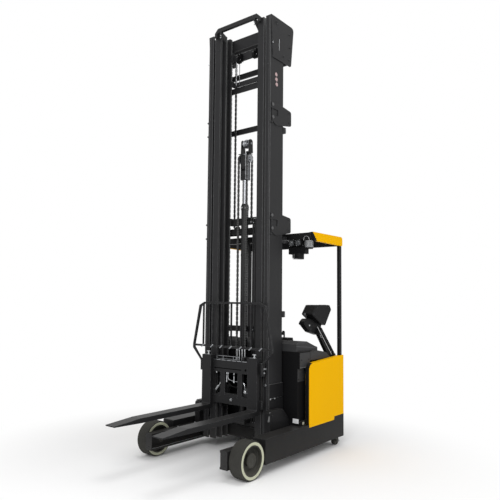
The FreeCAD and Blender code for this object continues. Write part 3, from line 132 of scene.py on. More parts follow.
class Wiring:
    """A node tree, with short ways to add its nodes and to feed their sockets."""

    def __init__(self, tree):
        self.tree = tree

    def feed(self, socket, value):
        """Gives a socket a value, or joins another node's output to it."""
        if isinstance(value, bpy.types.NodeSocket):
            self.tree.links.new(value, socket)
        else:
            socket.default_value = value

    def node(self, kind, sockets=(), **settings):
        made = self.tree.nodes.new("ShaderNode" + kind)
        for name, value in settings.items():
            setattr(made, name, value)
        for name, value in dict(sockets).items():
            self.feed(made.inputs[name], value)
        return made

    def maths(self, kind, *operands, clamp=False):
        return self.node("Math", enumerate(operands), operation=kind, use_clamp=clamp).outputs[0]

    def add(self, first, second, clamp=False):
        return self.maths("ADD", first, second, clamp=clamp)

    def less(self, first, second, clamp=False):
        return self.maths("SUBTRACT", first, second, clamp=clamp)

    def times(self, first, second, clamp=False):
        return self.maths("MULTIPLY", first, second, clamp=clamp)

    def split(self, vector):
        return self.node("SeparateXYZ", {0: vector}).outputs

    def place(self):
        return self.node("TexCoord").outputs["Object"]

    def facing(self):
        return self.node("NewGeometry").outputs["Normal"]

    def noise(self, scale, detail=3.0, roughness=0.55, stretch=None):
        """Noise on object coordinates."""
        where = self.place()
        if stretch:
            where = self.node("Mapping", {"Vector": where, "Scale": stretch}).outputs[0]
        return self.node("TexNoise", {
            "Vector": where, "Scale": scale, "Detail": detail, "Roughness": roughness}).outputs["Fac"]

    def blend(self, factor, first, second):
        """A mix of two colours."""
        return self.node("Mix", {0: factor, 6: first, 7: second}, data_type="RGBA").outputs[2]

    def group(self, build, settings):
        """A group placed in this tree, built the first time it is asked for."""
        if build not in shader_groups:
            shader_groups[build] = build()
        return self.node("Group", settings, node_tree=shader_groups[build]).outputs


def new_group(name, inputs, outputs):
    """An empty shader group with named sockets: its wiring, what it is given and what it puts out."""
    group = bpy.data.node_groups.new(name, "ShaderNodeTree")
    for label, default in inputs.items():
        kind = FLOAT if isinstance(default, float) else COLOUR
        group.interface.new_socket(name=label, in_out="INPUT", socket_type=kind).default_value = default
    for label, kind in outputs.items():
        group.interface.new_socket(name=label, in_out="OUTPUT", socket_type=kind)
    return Wiring(group), group.nodes.new("NodeGroupInput").outputs, group.nodes.new("NodeGroupOutput").inputs


def relief_group():
    """Rounds sharp edges and adds a fine grain, as a normal."""
    wiring, given, out = new_group("surface relief", {
        "Edge Round": 0.0015, "Grain Scale": 400.0, "Grain Depth": 0.0002, "Wave Depth": 0.0004}, {"Normal": VECTOR})
    rounded = wiring.node("Bevel", {"Radius": given["Edge Round"]}, samples=4).outputs[0]
    grain = wiring.times(wiring.noise(given["Grain Scale"], 2.0), given["Grain Depth"])
    wave = wiring.times(wiring.noise(7.0, 2.0), given["Wave Depth"])
    bump = wiring.node("Bump", {"Distance": 1.0, "Height": wiring.add(grain, wave), "Normal": rounded})
    wiring.feed(out["Normal"], bump.outputs[0])
    return wiring.tree


def worn_edge_highlight_group():
    """A mask of edges rubbed to bare metal, which also serve as painted highlights along the edges, and of scattered
    scuffs.
    """
    wiring, given, out = new_group("worn edges and painted highlights", {"Width": 0.004, "Amount": 0.5, "Patch Scale": 22.0},
                                   {"Mask": FLOAT, "Scuff": FLOAT})
    wide = wiring.node("Bevel", {"Radius": given["Width"]}, samples=4).outputs[0]
    turn = wiring.node("VectorMath", {0: wide, 1: wiring.facing()}, operation="DOT_PRODUCT").outputs["Value"]
    bend = wiring.times(wiring.less(1.0, turn), 3.2, True)
    patch = wiring.times(wiring.less(wiring.noise(given["Patch Scale"], 5.0, 0.65), 0.42), 4.5, True)
    wiring.feed(out["Mask"], wiring.times(wiring.times(bend, patch), given["Amount"], True))
    streak = wiring.times(wiring.less(wiring.noise(60.0, 6.0, 0.7), 0.62), 5.0, True)
    wiring.feed(out["Scuff"], wiring.times(streak, given["Amount"], True))
    return wiring.tree


def tone_group():
    """A colour that drifts a little over large and small patches."""
    wiring, given, out = new_group("tone drift", {"Color": GREY, "Amount": 0.15, "Patch Scale": 3.0},
                                   {"Color": COLOUR, "Patch": FLOAT})
    broad, fine = wiring.noise(given["Patch Scale"], 4.0, 0.6), wiring.noise(90.0, 3.0, 0.6)
    patch = wiring.add(wiring.times(broad, 0.7), wiring.times(fine, 0.3))
    level = wiring.add(wiring.times(wiring.less(patch, 0.5), given["Amount"]), 1.0)
    tint = wiring.node("HueSaturation", {"Color": given["Color"], "Value": level})
    wiring.feed(out["Color"], tint.outputs[0])
    wiring.feed(out["Patch"], patch)
    return wiring.tree


def dust_group():
    """Dust that lies on faces that look up, and road grime low down."""
    wiring, given, out = new_group("settled dust", {
        "Color": GREY, "Dust": (*tone(176, 172, 162), 1), "Amount": 0.1, "Low Amount": 0.1},
        {"Color": COLOUR, "Mask": FLOAT})
    upward = wiring.maths("MAXIMUM", wiring.split(wiring.facing())["Z"], 0.0)
    lying = wiring.times(wiring.maths("POWER", upward, 3.0), given["Amount"])
    low = wiring.less(1.0, wiring.times(wiring.split(wiring.place())["Z"], 2.6), True)
    settled = wiring.add(lying, wiring.times(low, given["Low Amount"]))
    mask = wiring.times(settled, wiring.add(wiring.noise(9.0, 5.0, 0.65), 0.35), True)
    wiring.feed(out["Color"], wiring.blend(mask, given["Color"], given["Dust"]))
    wiring.feed(out["Mask"], mask)
    return wiring.tree


def side_light_group():
    """Lightens the faces that look sideways, such as the rails' webs, with streaks along them: painted light on those
    faces.
    """
    wiring, given, out = new_group("painted side light", {"Color": GREY, "Lit Color": GREY}, {"Color": COLOUR})
    sideways = wiring.maths("ABSOLUTE", wiring.split(wiring.facing())["X"])
    # Painted light: faces that look sideways take the lighter colour.
    web = wiring.times(wiring.less(sideways, 0.85), 12.0, True)
    streaks = wiring.add(wiring.times(wiring.noise(26.0, 4.0, 0.6, (1.0, 1.0, 0.05)), 0.5), 0.6, True)
    wiring.feed(out["Color"], wiring.blend(wiring.times(web, streaks), given["Color"], given["Lit Color"]))
    return wiring.tree


# Finishes

# Paint's edges are rubbed to a bare colour, which is both worn metal and a painted highlight.
PAINT = {"grain": (300.0, 0.00010), "wave": 0.0005, "drift": (0.22, 2.5), "wear_and_highlight": 0.55, "bare": (118, 120, 122)}
MARK = {"specular": 0.4, "edge": 0.0006, "grain": (1200.0, 0.00005), "drift": (0.08, 20.0), "dust": (0.02, 0.02)}

# Each finish has its colour, which is one of the colour settings or is given here, its roughness and its effects.
FINISHES = {
    "mast paint": ("mast", 0.4, dict(PAINT, specular=0.13, dust=(0.05, 0.05))),
    # The rails' paint carries painted light on its faces that look sideways.
    "rail paint side lit": ("mast", 0.4, dict(PAINT, specular=0.13, dust=(0.05, 0.05), side_lit=(80, 80, 80))),
    "frame paint": ("frame", 0.42, dict(PAINT, specular=0.08, dust=(0.03, 0.04))),
    "carriage paint": ("carriage", 0.42, dict(
        specular=0.13, grain=(340.0, 0.00014), wave=0.0004, drift=(0.25, 4.0), wear_and_highlight=0.7, bare=(140, 141, 143),
        dust=(0.02, 0.02))),
    "body yellow": ("yellow", 0.45, dict(
        specular=0.02, edge=0.004, grain=(650.0, 0.00007), wave=0.0006, drift=(0.05, 1.8), dust=(0.006, 0.01))),
    "cover grey": ("cover", 0.55, dict(
        specular=0.06, edge=0.004, grain=(900.0, 0.00022), drift=(0.15, 3.0), dust=(0.06, 0.05))),
    "console grey": ("console", 0.5, dict(
        specular=0.14, edge=0.005, grain=(900.0, 0.00022), drift=(0.12, 3.0), dust=(0.06, 0.05))),
    "turned steel": ("steel", 0.32, dict(
        metallic=1.0, edge=0.0008, grain=(1400.0, 0.00004), drift=(0.3, 30.0), dust=(0.05, 0.05))),
    "oiled chain steel": ((80, 80, 80), 0.36, dict(
        metallic=0.85, edge=0.0006, grain=(1500.0, 0.00006), drift=(0.5, 40.0), dust=(0.03, 0.0))),
    "zinc plate": ("zinc", 0.28, dict(
        metallic=1.0, edge=0.0008, grain=(1600.0, 0.00004), drift=(0.25, 60.0), dust=(0.03, 0.03))),
    "ground rod chrome": ((118, 119, 122), 0.2, dict(
        metallic=1.0, edge=0.0006, grain=(2600.0, 0.00001), drift=(0.06, 10.0), dust=(0.02, 0.0))),
    "cylinder black": ((17, 17, 18), 0.34, dict(
        specular=0.22, grain=(380.0, 0.00012), wave=0.0003, drift=(0.2, 5.0), wear_and_highlight=0.25, bare=(96, 98, 100),
        dust=(0.05, 0.03))),
    "tyre side": ("cream", 0.5, dict(
        specular=0.1, edge=0.002, grain=(520.0, 0.0001), drift=(0.10, 12.0), dust=(0.0, 0.10))),
    "tyre tread": ("tread", 0.72, dict(
        specular=0.08, edge=0.002, grain=(700.0, 0.00035), drift=(0.35, 14.0), dust=(0.04, 0.07))),
    "wheel iron": ((38, 38, 34), 0.46, dict(
        specular=0.13, edge=0.0025, grain=(260.0, 0.0005), drift=(0.3, 9.0), wear_and_highlight=0.45, bare=(122, 122, 120),
        dust=(0.08, 0.12))),
    "black moulding": ((16, 16, 17), 0.45, dict(
        specular=0.09, edge=0.002, grain=(900.0, 0.0002), drift=(0.12, 6.0), dust=(0.05, 0.03))),
    "mat rubber": ((28, 28, 29), 0.8, dict(
        specular=0.1, edge=0.001, grain=(800.0, 0.0003), drift=(0.3, 8.0), dust=(0.16, 0.1))),
    # A flat black for painted shade in slots and holes.
    "slot shade": ((5, 5, 5), 0.9, dict(specular=0.0)),
    # A light grey for painted highlights along the rails' edges.
    "painted edge highlight": ((74, 74, 75), 0.3, MARK),
    "plate boss": ((70, 70, 71), 0.3, MARK),
    "light strip": ((196, 198, 200), 0.3, MARK),
    "blank disc": ((176, 150, 150), 0.5, MARK),
    "grip bar": ((84, 84, 84), 0.3, MARK),
    # A light grey for painted highlights along the reach carriage's plate edges.
    "worn edge": ((88, 88, 88), 0.3, MARK),
    "blank plate": ((226, 227, 228), 0.3, MARK),
    "blank sticker": ((190, 188, 170), 0.5, MARK),
    "lamp bracket": ((88, 88, 90), 0.3, MARK),
    "beacon guard": ((150, 150, 150), 0.3, MARK),
    "keys": ((64, 65, 67), 0.5, MARK),
    "dial ring": ((120, 122, 124), 0.3, MARK),
    "arm strip": ((170, 171, 172), 0.3, MARK),
    "pocket lip": ((96, 97, 99), 0.3, MARK),
    "pocket plate": ((40, 40, 41), 0.5, MARK),
    # A light grey for painted highlights along the console's ridges.
    "joint line": ((92, 93, 95), 0.3, MARK),
    "pedal ribs": ((74, 75, 76), 0.6, MARK),
}
LENSES = {"work lamp lens": (66, 68, 70), "beacon lens": (150, 152, 154), "display glass": (22, 28, 30)}


def opened(name):
    """A new material: the material, its wiring and its surface's sockets."""
    material = bpy.data.materials.new(name)
    material.use_nodes = True
    return material, Wiring(material.node_tree), material.node_tree.nodes["Principled BSDF"].inputs


def finish(name, colour, roughness, metallic=0.0, specular=0.35, edge=None, grain=(420.0, 0.00012), wave=0.0,
           drift=(0.2, 3.0), wear_and_highlight=0.0, bare=None, dust=(0.1, 0.1), side_lit=None):
    """A painted, moulded or bare surface with grain, drift in tone, edges rubbed to bare metal that are also painted
    highlights, painted light on sideways faces where asked, and dust.
    """
    material, wiring, surface = opened(name)
    drifted = wiring.group(tone_group, {"Color": (*colour, 1), "Amount": drift[0], "Patch Scale": drift[1]})
    dusty = wiring.group(dust_group, {"Color": drifted["Color"], "Amount": dust[0], "Low Amount": dust[1]})
    base = dusty["Color"]
    # Painted light on the faces that look sideways.
    if side_lit:
        base = wiring.group(side_light_group, {"Color": base, "Lit Color": (*tone(*side_lit), 1)})["Color"]
    rough = wiring.add(wiring.times(drifted["Patch"], 0.16), roughness - 0.08)
    rough = wiring.add(rough, wiring.times(dusty["Mask"], 0.35), True)
    # Edges turn to the bare colour: worn metal, and also a painted highlight along them.
    if wear_and_highlight:
        rubbed = wiring.group(worn_edge_highlight_group, {"Width": 0.005, "Amount": wear_and_highlight})
        base = wiring.blend(rubbed["Mask"], base, (*tone(*bare), 1))
        rough = wiring.add(rough, wiring.times(rubbed["Scuff"], 0.2), True)
        metallic = wiring.maths("MAXIMUM", wiring.times(rubbed["Mask"], 0.9), metallic)
    relief = wiring.group(relief_group, {
        "Edge Round": sizes().edge if edge is None else edge, "Grain Scale": grain[0], "Grain Depth": grain[1],
        "Wave Depth": wave})
    for label, value in (("Specular IOR Level", specular), ("Metallic", metallic), ("Base Color", base),
                         ("Roughness", rough), ("Normal", relief["Normal"])):
        wiring.feed(surface[label], value)
    return material


def lens_glass(name, colour):
    """A lamp lens or display glass with fine moulded facets."""
    material, wiring, surface = opened(name)
    drifted = wiring.group(tone_group, {"Color": (*colour, 1), "Amount": 0.25, "Patch Scale": 60.0})
    cells = wiring.node("TexVoronoi", {"Scale": 160.0, "Vector": wiring.place()}).outputs["Distance"]
    bump = wiring.node("Bump", {"Distance": 0.0012, "Strength": 0.7, "Height": cells}).outputs[0]
    for label, value in (("Coat Weight", 0.6), ("Coat Roughness", 0.06), ("Base Color", drifted["Color"]),
                         ("Roughness", wiring.add(wiring.times(drifted["Patch"], 0.1), 0.14)), ("Normal", bump)):
        wiring.feed(surface[label], value)
    return material


def finished(name):
    """The finish of that name, made the first time it is asked for."""
    if name not in made_finishes:
        if name in LENSES:
            made_finishes[name] = lens_glass(name, tone(*LENSES[name]))
        else:
            colour, roughness, effects = FINISHES[name]
            colour = getattr(bpy.context.scene.truck_colours, colour) if isinstance(colour, str) else tone(*colour)
            made_finishes[name] = finish(name, colour, roughness, **effects)
    return made_finishes[name]


# Mesh parts

SIDES = (("left", 1), ("right", -1))
TURNS = {"X": Matrix.Rotation(math.pi / 2, 4, "Y"), "Y": Matrix.Rotation(-math.pi / 2, 4, "X"),
         "Z": Matrix.Identity(4)}
WAYS = {"+X": (1, 0, 0), "-X": (-1, 0, 0), "+Y": (0, 1, 0), "-Y": (0, -1, 0), "+Z": (0, 0, 1)}


def soften(part, width, segments=1, edges=None):
    """Bevels a part's edges."""
    bmesh.ops.bevel(part, geom=edges or part.edges[:], offset=width, offset_type="OFFSET", segments=segments,
                    affect="EDGES", profile=0.5, clamp_overlap=True, material=-1)


class Piece:
    """A piece under construction. Its side is 1, or -1 where each X it is given is to be taken on the right."""

    def __init__(self, side=1):
        self.mesh, self.side = bmesh.new(), side

    def sides(self):
        """The truck's left and then its right."""
        for self.side in (1, -1):
            yield self.side
        self.side = 1

    def at(self, point):
        return Vector((self.side * point[0], point[1], point[2]))

    def join(self, part, place=None, material=0):
        """Adds a part's faces, in place and with their finish."""
        bmesh.ops.remove_doubles(part, verts=part.verts, dist=1e-6)
        if place is not None:
            bmesh.ops.transform(part, matrix=place, verts=part.verts)
        bmesh.ops.recalc_face_normals(part, faces=part.faces)
        for face in part.faces:
            face.material_index = material
        holder = bpy.data.meshes.new("part")
        part.to_mesh(holder)
        part.free()
        self.mesh.from_mesh(holder)
        bpy.data.meshes.remove(holder)

    def block(self, low, high, bevel=0.0, material=0, segments=1, turn=None):
        """A box between two corners, its edges bevelled, and turned about its own centre."""
        low, high = self.at(low), self.at(high)
        low.x, high.x = sorted((low.x, high.x))
        part = bmesh.new()
        bmesh.ops.create_cube(part, size=1)
        bmesh.ops.scale(part, vec=high - low, verts=part.verts)
        if bevel:
            soften(part, bevel, segments)
        self.join(part, Matrix.Translation((low + high) / 2) @ (turn or Matrix.Identity(4)), material)

    def rod(self, start, end, radius, material=0, segments=16, bevel=0.0, far_radius=None):
        """A round bar between two points."""
        start, end = self.at(start), self.at(end)
        length = (end - start).length
        part = bmesh.new()
        bmesh.ops.create_cone(part, cap_ends=True, segments=segments, radius1=radius,
                              radius2=radius if far_radius is None else far_radius, depth=length,
                              matrix=Matrix.Translation((0, 0, length / 2)))
        if bevel:
            rims = [edge for edge in part.edges if abs(edge.verts[0].co.z - edge.verts[1].co.z) < 1e-7]
            soften(part, bevel, 1, rims)
        laid = Matrix.Translation(start) @ (end - start).to_track_quat("Z", "Y").to_matrix().to_4x4()
        self.join(part, laid, material)

    def lathe(self, profile, centre, axis="X", material=0, steps=32, closed=False):
        """A (radius, offset) profile spun a full turn round an axis through centre."""
        part = bmesh.new()
        way = self.side if axis == "X" else 1
        points = [part.verts.new((radius, 0, way * offset)) for radius, offset in profile]
        pairs = list(zip(points, points[1:]))
        if closed:
            pairs.append((points[-1], points[0]))
        edges = [part.edges.new(ends) for ends in pairs]
        bmesh.ops.spin(part, geom=points + edges, angle=math.tau, steps=steps, use_merge=True,
                       axis=(0, 0, 1), cent=(0, 0, 0))
        self.join(part, Matrix.Translation(self.at(centre)) @ TURNS[axis], material)

    def slab(self, plane, corners, start, end, bevel=0.0, material=0):
        """A flat outline in the YZ or XZ plane, extruded from start to end along the third axis."""
        part = bmesh.new()
        if plane == "YZ":
            start, end = sorted((self.side * start, self.side * end))
            points, step = [(start, *corner) for corner in corners], (end - start, 0, 0)
        else:
            points, step = [(x, start, z) for x, z in corners], (0, end - start, 0)
        face = part.faces.new([part.verts.new(point) for point in points])
        grown = bmesh.ops.extrude_face_region(part, geom=[face])["geom"]
        bmesh.ops.translate(part, vec=step, verts=[each for each in grown if isinstance(each, bmesh.types.BMVert)])
        if bevel:
            soften(part, bevel)
        self.join(part, None, material)

    def post(self, x, y, low, high, *rest):
        """An upright round bar."""
        self.rod((x, y, low), (x, y, high), *rest)

    def turned(self, profile, *rest):
        """A lathed profile that is solid to its axis at both ends."""
        self.lathe([(0.0, profile[0][1]), *profile, (0.0, profile[-1][1])], *rest)

    def bolts(self, places, way, across=None, material=0, tall=0.6):
        """Hexagon heads on their washers, standing on a face."""
        radius, way = (across or sizes().bolt) / 2, Vector(WAYS[way])
        for place in places:
            place = Vector(place)
            self.rod(place, place + way * radius * 0.22, radius * 1.3, material, 12)
            self.rod(place + way * radius * 0.2, place + way * radius * (0.2 + 2 * tall), radius, material, 6,
                     radius * 0.14)

    def tube(self, path, radius, material=0, resolution=1):
        """A rigid pipe along a path of points."""
        curve = bpy.data.curves.new("pipe", "CURVE")
        curve.dimensions = "3D"
        spline = curve.splines.new("POLY")
        spline.points.add(len(path) - 1)
        for point, where in zip(spline.points, path):
            point.co = (*self.at(where), 1)
        curve.bevel_depth = radius
        curve.bevel_resolution = resolution
        curve.use_fill_caps = True
        holder = bpy.data.objects.new("pipe", curve)
        bpy.context.scene.collection.objects.link(holder)
        bpy.context.view_layer.update()
        shape = bpy.data.meshes.new_from_object(holder)
        part = bmesh.new()
        part.from_mesh(shape)
        bpy.data.objects.remove(holder)
        bpy.data.curves.remove(curve)
        bpy.data.meshes.remove(shape)
        self.join(part, None, material)

    def done(self, name, body, finishes, replaces=(), sharp=32.0):
        """Makes the mesh an object that rides on a body; finishes are named in the order of its parts' numbers."""
        data = bpy.data.meshes.new(name)
        self.mesh.to_mesh(data)
        self.mesh.free()
        for each in finishes.split(", "):
            data.materials.append(finished(each))
        data.shade_smooth()
        data.set_sharp_from_angle(angle=math.radians(sharp))
        made = bpy.data.objects.new(name, data)
        bpy.context.scene.collection.objects.link(made)
        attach(made, body)
        if replaces:
            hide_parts(*replaces)


def ring_of(count, centre, radius, axis, start=0.0):
    """Points evenly round a circle."""
    angles = [start + math.tau * number / count for number in range(count)]
    return [Vector(centre) + TURNS[axis] @ Vector((radius * math.cos(angle), radius * math.sin(angle), 0))
            for angle in angles]


def rounded(path, radius, steps=4):
    """A path with each corner swept to a radius."""
    path = [Vector(point) for point in path]
    swept = [path[0]]
    for before, corner, after in zip(path, path[1:], path[2:]):
        back, ahead = before - corner, after - corner
        reach = min(radius, back.length * 0.45, ahead.length * 0.45)
        near, far = corner + back.normalized() * reach, corner + ahead.normalized() * reach
        for number in range(steps + 1):
            share = number / steps
            swept.append(near.lerp(corner, share).lerp(corner.lerp(far, share), share))
    return swept + [path[-1]]


def both_ends(half, wide, between=()):
    """A profile that runs to its middle, then back in mirror image over a width."""
    return [*half, *between, *((out, wide - across) for out, across in reversed(half))]


def wheel(node):
    """A wheel's hub at its low X, its radius and its width."""
    low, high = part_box(node)
    hub = Vector((low.x, (low.y + high.y) / 2, (low.z + high.z) / 2))
    return hub, (high.z - low.z) / 2, high.x - low.x


class Step:
    """What the truck's operators share."""
    bl_options = {"REGISTER", "UNDO"}


# Stage


class StageOperator(Step, bpy.types.Operator):
    """Sets the camera, the soft lights and the pale floor"""
    bl_idname = "truck.stage"
    bl_label = "Stage"

    def execute(self, context):
        stage = context.scene.truck_stage
        self.camera(stage)
        self.world(stage.sky)
        self.floor()
        for name, place, width, power in (
                ("key light", (3.2, -5.0, 4.6), 3.2, stage.key), ("fill light", (-0.8, -5.8, 2.4), 3.0, stage.fill),
                ("top light", (0.4, 0.2, 7.2), 3.4, stage.top), ("side light", (6.0, 1.6, 3.2), 3.0, stage.fill)):
            self.lamp(name, Vector(place), width, power)
        context.scene.view_settings.view_transform = "Standard"
        return {"FINISHED"}

    def placed(self, name, data, matrix=None):
        made = bpy.data.objects.new(name, data)
        if matrix:
            made.matrix_world = matrix
        bpy.context.scene.collection.objects.link(made)
        return made

    def camera(self, stage):
        heading, pitch, roll = stage.heading, stage.pitch, stage.roll
        ahead = Vector((-math.sin(heading) * math.cos(pitch), math.cos(heading) * math.cos(pitch), math.sin(pitch)))
        level = Vector((math.cos(heading), math.sin(heading), 0))
        upright = level.cross(ahead)
        across = level * math.cos(roll) + upright * math.sin(roll)
        up = upright * math.cos(roll) - level * math.sin(roll)
        lens = bpy.data.cameras.new("camera")
        lens.lens, lens.sensor_width, lens.shift_y = stage.lens, 36, stage.rise
        turned = Matrix((across, up, -ahead)).transposed().to_4x4()
        bpy.context.scene.camera = self.placed("camera", lens, Matrix.Translation(stage.place) @ turned)

    def world(self, strength):
        world = bpy.data.worlds.new("studio")
        bpy.context.scene.world = world
        world.use_nodes = True
        wiring, sky = Wiring(world.node_tree), world.node_tree.nodes["Background"].inputs
        ray = wiring.node("LightPath").outputs
        seen = wiring.maths("MAXIMUM", ray["Is Camera Ray"], ray["Is Transmission Ray"])
        seen = wiring.maths("MAXIMUM", seen, ray["Is Glossy Ray"])
        wiring.feed(sky["Color"], (1, 1, 1, 1))
        wiring.feed(sky["Strength"], wiring.add(wiring.times(seen, 1.0 - strength), strength))

    def floor(self):
        mesh = bmesh.new()
        bmesh.ops.create_circle(mesh, cap_ends=True, segments=96, radius=30)
        data = bpy.data.meshes.new("floor")
        mesh.to_mesh(data)
        mesh.free()
        material, wiring, surface = opened("pale floor")
        for label, value in (("Roughness", 0.9), ("Specular IOR Level", 0.1), ("Base Color", (0.93, 0.93, 0.93, 1))):
            wiring.feed(surface[label], value)
        glow = wiring.node("Emission", {"Color": (1, 1, 1, 1)}).outputs[0]
        far = wiring.node("VectorMath", {0: wiring.place()}, operation="LENGTH").outputs["Value"]
        spread = wiring.node("MapRange", {"Value": far, "From Min": 1.3, "From Max": 3.0},
                             interpolation_type="SMOOTHSTEP").outputs[0]
        ray = wiring.node("LightPath").outputs
        seen = wiring.maths("MAXIMUM", ray["Is Camera Ray"], ray["Is Glossy Ray"])
        paper = wiring.tree.nodes["Principled BSDF"].outputs[0]
        mix = wiring.node("MixShader", {0: wiring.times(spread, seen), 1: paper, 2: glow})
        wiring.feed(wiring.tree.nodes["Material Output"].inputs["Surface"], mix.outputs[0])
        data.materials.append(material)
        self.placed("floor", data)

    def lamp(self, name, place, width, power):
        light = bpy.data.lights.new(name, "AREA")
        light.shape, light.size, light.energy = "DISK", width, power
        aim = Vector((0, 0, 1.9)) - place
        self.placed(name, light, Matrix.Translation(place) @ aim.to_track_quat("-Z", "Y").to_matrix().to_4x4())


class FinishOperator(Step, bpy.types.Operator):
    """Gives every carried-over part its paint, moulding or metal"""
    bl_idname = "truck.finishes"
    bl_label = "Finishes"

    def execute(self, context):
        for name, nodes in (
                ("mast paint", "outer_rails outer_ties middle_ties inner_ties mast_top_bar"),
                ("rail paint side lit", "middle_rails inner_rails"),
                ("frame paint", "reach_carriage leg_left leg_right chassis_frame guard_frame side_skirts"),
                ("carriage paint", "fork_frame lift_frame fork_left fork_right load_backrest"),
                ("body yellow", "side_panel_left side_panel_right guard_fascia"),
                ("cover grey", "battery_cover compartment_liner operator_floor"),
                ("console grey", "side_armrest console_cowl power_cover"),
                ("black moulding", "control_arm display_head steering_dial control_levers guard_lamps"),
                ("tyre tread", "load_tyre_left load_tyre_right drive_tyre caster_wheel"),
                ("wheel iron", "load_rim_left load_rim_right drive_rim drive_yoke caster_yoke stub_axles"),
                ("cylinder black", "lift_cylinders free_lift_cylinder reach_cylinder drive_motor battery"),
                ("ground rod chrome", "lift_rods free_lift_rod"),
                ("oiled chain steel", "lift_chains free_lift_chains")):
            for node in nodes.split():
                materials = frame["nodes"][node].data.materials
                if not materials:
                    materials.append(finished(name))
                for number in range(len(materials)):
                    materials[number] = finished(name)
        return {"FINISHED"}


# Wheels


def grooves(radius, wide, bands, depth, floor, mouth):
    """The profile of the grooves between a tread's bands."""
    points = []
    for number in range(1, bands):
        middle = wide * number / bands
        points += both_ends([(radius, middle - mouth), (radius - depth, middle - floor)], middle * 2)
    return points


class LoadWheelOperator(Step, bpy.types.Operator):
    """Moulds the load tyres with their pale side bands, and fits hub covers and studs"""
    bl_idname = "truck.load_wheels"
    bl_label = "Load wheels"

    def execute(self, context):
        hub, radius, wide = wheel("load_tyre_left")
        for name, side in SIDES:
            self.tyre(name, side, hub, radius, wide)
            self.dish(name, side, hub, wide)
        return {"FINISHED"}

    def tyre(self, name, side, hub, radius, wide):
        piece = Piece(side)
        band, shoulder = 0.1355, radius - radius * 0.055
        half = [(band, 0.0015), (shoulder, 0.0015), (radius - 0.004, 0.004), (radius - 0.0006, 0.010)]
        piece.lathe(both_ends(half, wide, grooves(radius, wide, 6, 0.0012, 0.0012, 0.003)), hub, "X", 0, 72, True)
        for near, way in ((wide, -1), (0.0, 1)):
            far, ledge = near + way * 0.005, near + way * 0.0016
            piece.lathe([(band - 0.001, far), (band - 0.001, ledge), (band + 0.001, near), (shoulder - 0.004, near),
                         (shoulder - 0.0025, ledge), (shoulder - 0.0025, far)], hub, "X", 1, 72, True)
        piece.done("tyre_moulding_" + name, "load_wheel_" + name, "tyre tread, tyre side",
                   ("load_tyre_" + name,), 40)

    def dish(self, name, side, hub, wide):
        piece = Piece(side)
        floor, cover = Vector((wide / 2 + 0.0125, 0, 0)), Vector((wide - 0.024, 0, 0))
        piece.lathe(((0.100, -0.001), (0.100, 0.002), (0.106, 0.004), (0.118, 0.012), (0.1225, 0.022),
                     (0.1225, -0.001)), hub + floor, "X", 0, 48, True)
        piece.lathe(((0.0, -0.002), (0.062, -0.002), (0.064, 0.001), (0.064, 0.006), (0.060, 0.010),
                     (0.046, 0.0125), (0.040, 0.0105), (0.020, 0.0105), (0.0, 0.0115)), hub + cover, "X", 0, 36)
        for screw in ring_of(3, hub + cover + Vector((0.0105, 0, 0)), 0.046, "X", 0.2):
            piece.rod(screw, screw + Vector((0.003, 0, 0)), 0.0045, 0, 10, 0.0008)
        nipple = hub + floor + Vector((0, -0.095, 0.006))
        piece.rod(nipple, nipple + Vector((0.014, 0, 0)), 0.0055, 1, 10, 0.001)
        piece.done("hub_cover_" + name, "load_wheel_" + name, "wheel iron, zinc plate", (), 35)


class RearWheelOperator(Step, bpy.types.Operator):
    """Moulds the drive tyre, its wheel nuts, and the caster's roll"""
    bl_idname = "truck.rear_wheels"
    bl_label = "Rear wheels"

    def execute(self, context):
        hub, radius, wide = wheel("drive_tyre")
        piece = Piece()
        half = [(0.120, 0), (radius - 0.008, 0), (radius - 0.002, 0.003), (radius, 0.008)]
        piece.lathe(both_ends(half, wide, grooves(radius, wide, 5, 0.004, 0.002, 0.004)), hub, "X", 0, 64, True)
        piece.done("drive_tyre_moulding", "drive_wheel", "tyre tread", ("drive_tyre",), 40)
        piece = Piece()
        face = hub + Vector((wide / 5 - 0.0005, 0, 0))
        piece.lathe(((0.0, -0.014), (0.034, -0.014), (0.042, -0.008), (0.046, 0.001)), face, "X", 0, 24)
        piece.bolts(ring_of(7, face, 0.078, "X"), "-X", 0.024, 1)
        piece.done("drive_wheel_nuts", "drive_wheel", "wheel iron, zinc plate", (), 35)
        hub, radius, wide = wheel("caster_wheel")
        piece = Piece()
        half = [(radius - 0.010, 0), (radius - 0.004, 0.001), (radius - 0.001, 0.007)]
        piece.lathe(both_ends(half, wide, [(radius, wide / 2)]), hub, "X", 0, 40, True)
        half = [(0.0084, 0.002), (0.016, 0.002), (0.018, 0.008), (radius - 0.014, 0.008), (radius - 0.009, 0.003)]
        piece.lathe(both_ends(half, wide), hub, "X", 1, 40, True)
        piece.done("caster_roll_moulding", "caster_roll", "tyre tread, wheel iron", ("caster_wheel",), 40)
        piece = Piece()
        low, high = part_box("caster_yoke")
        for x, way in ((low.x, "-X"), (high.x, "+X")):
            piece.bolts([(x, hub.y, hub.z)], way, 0.019)
        piece.done("caster_axle_nuts", "caster", "zinc plate", (), 35)
        return {"FINISHED"}


# Chains and cylinders


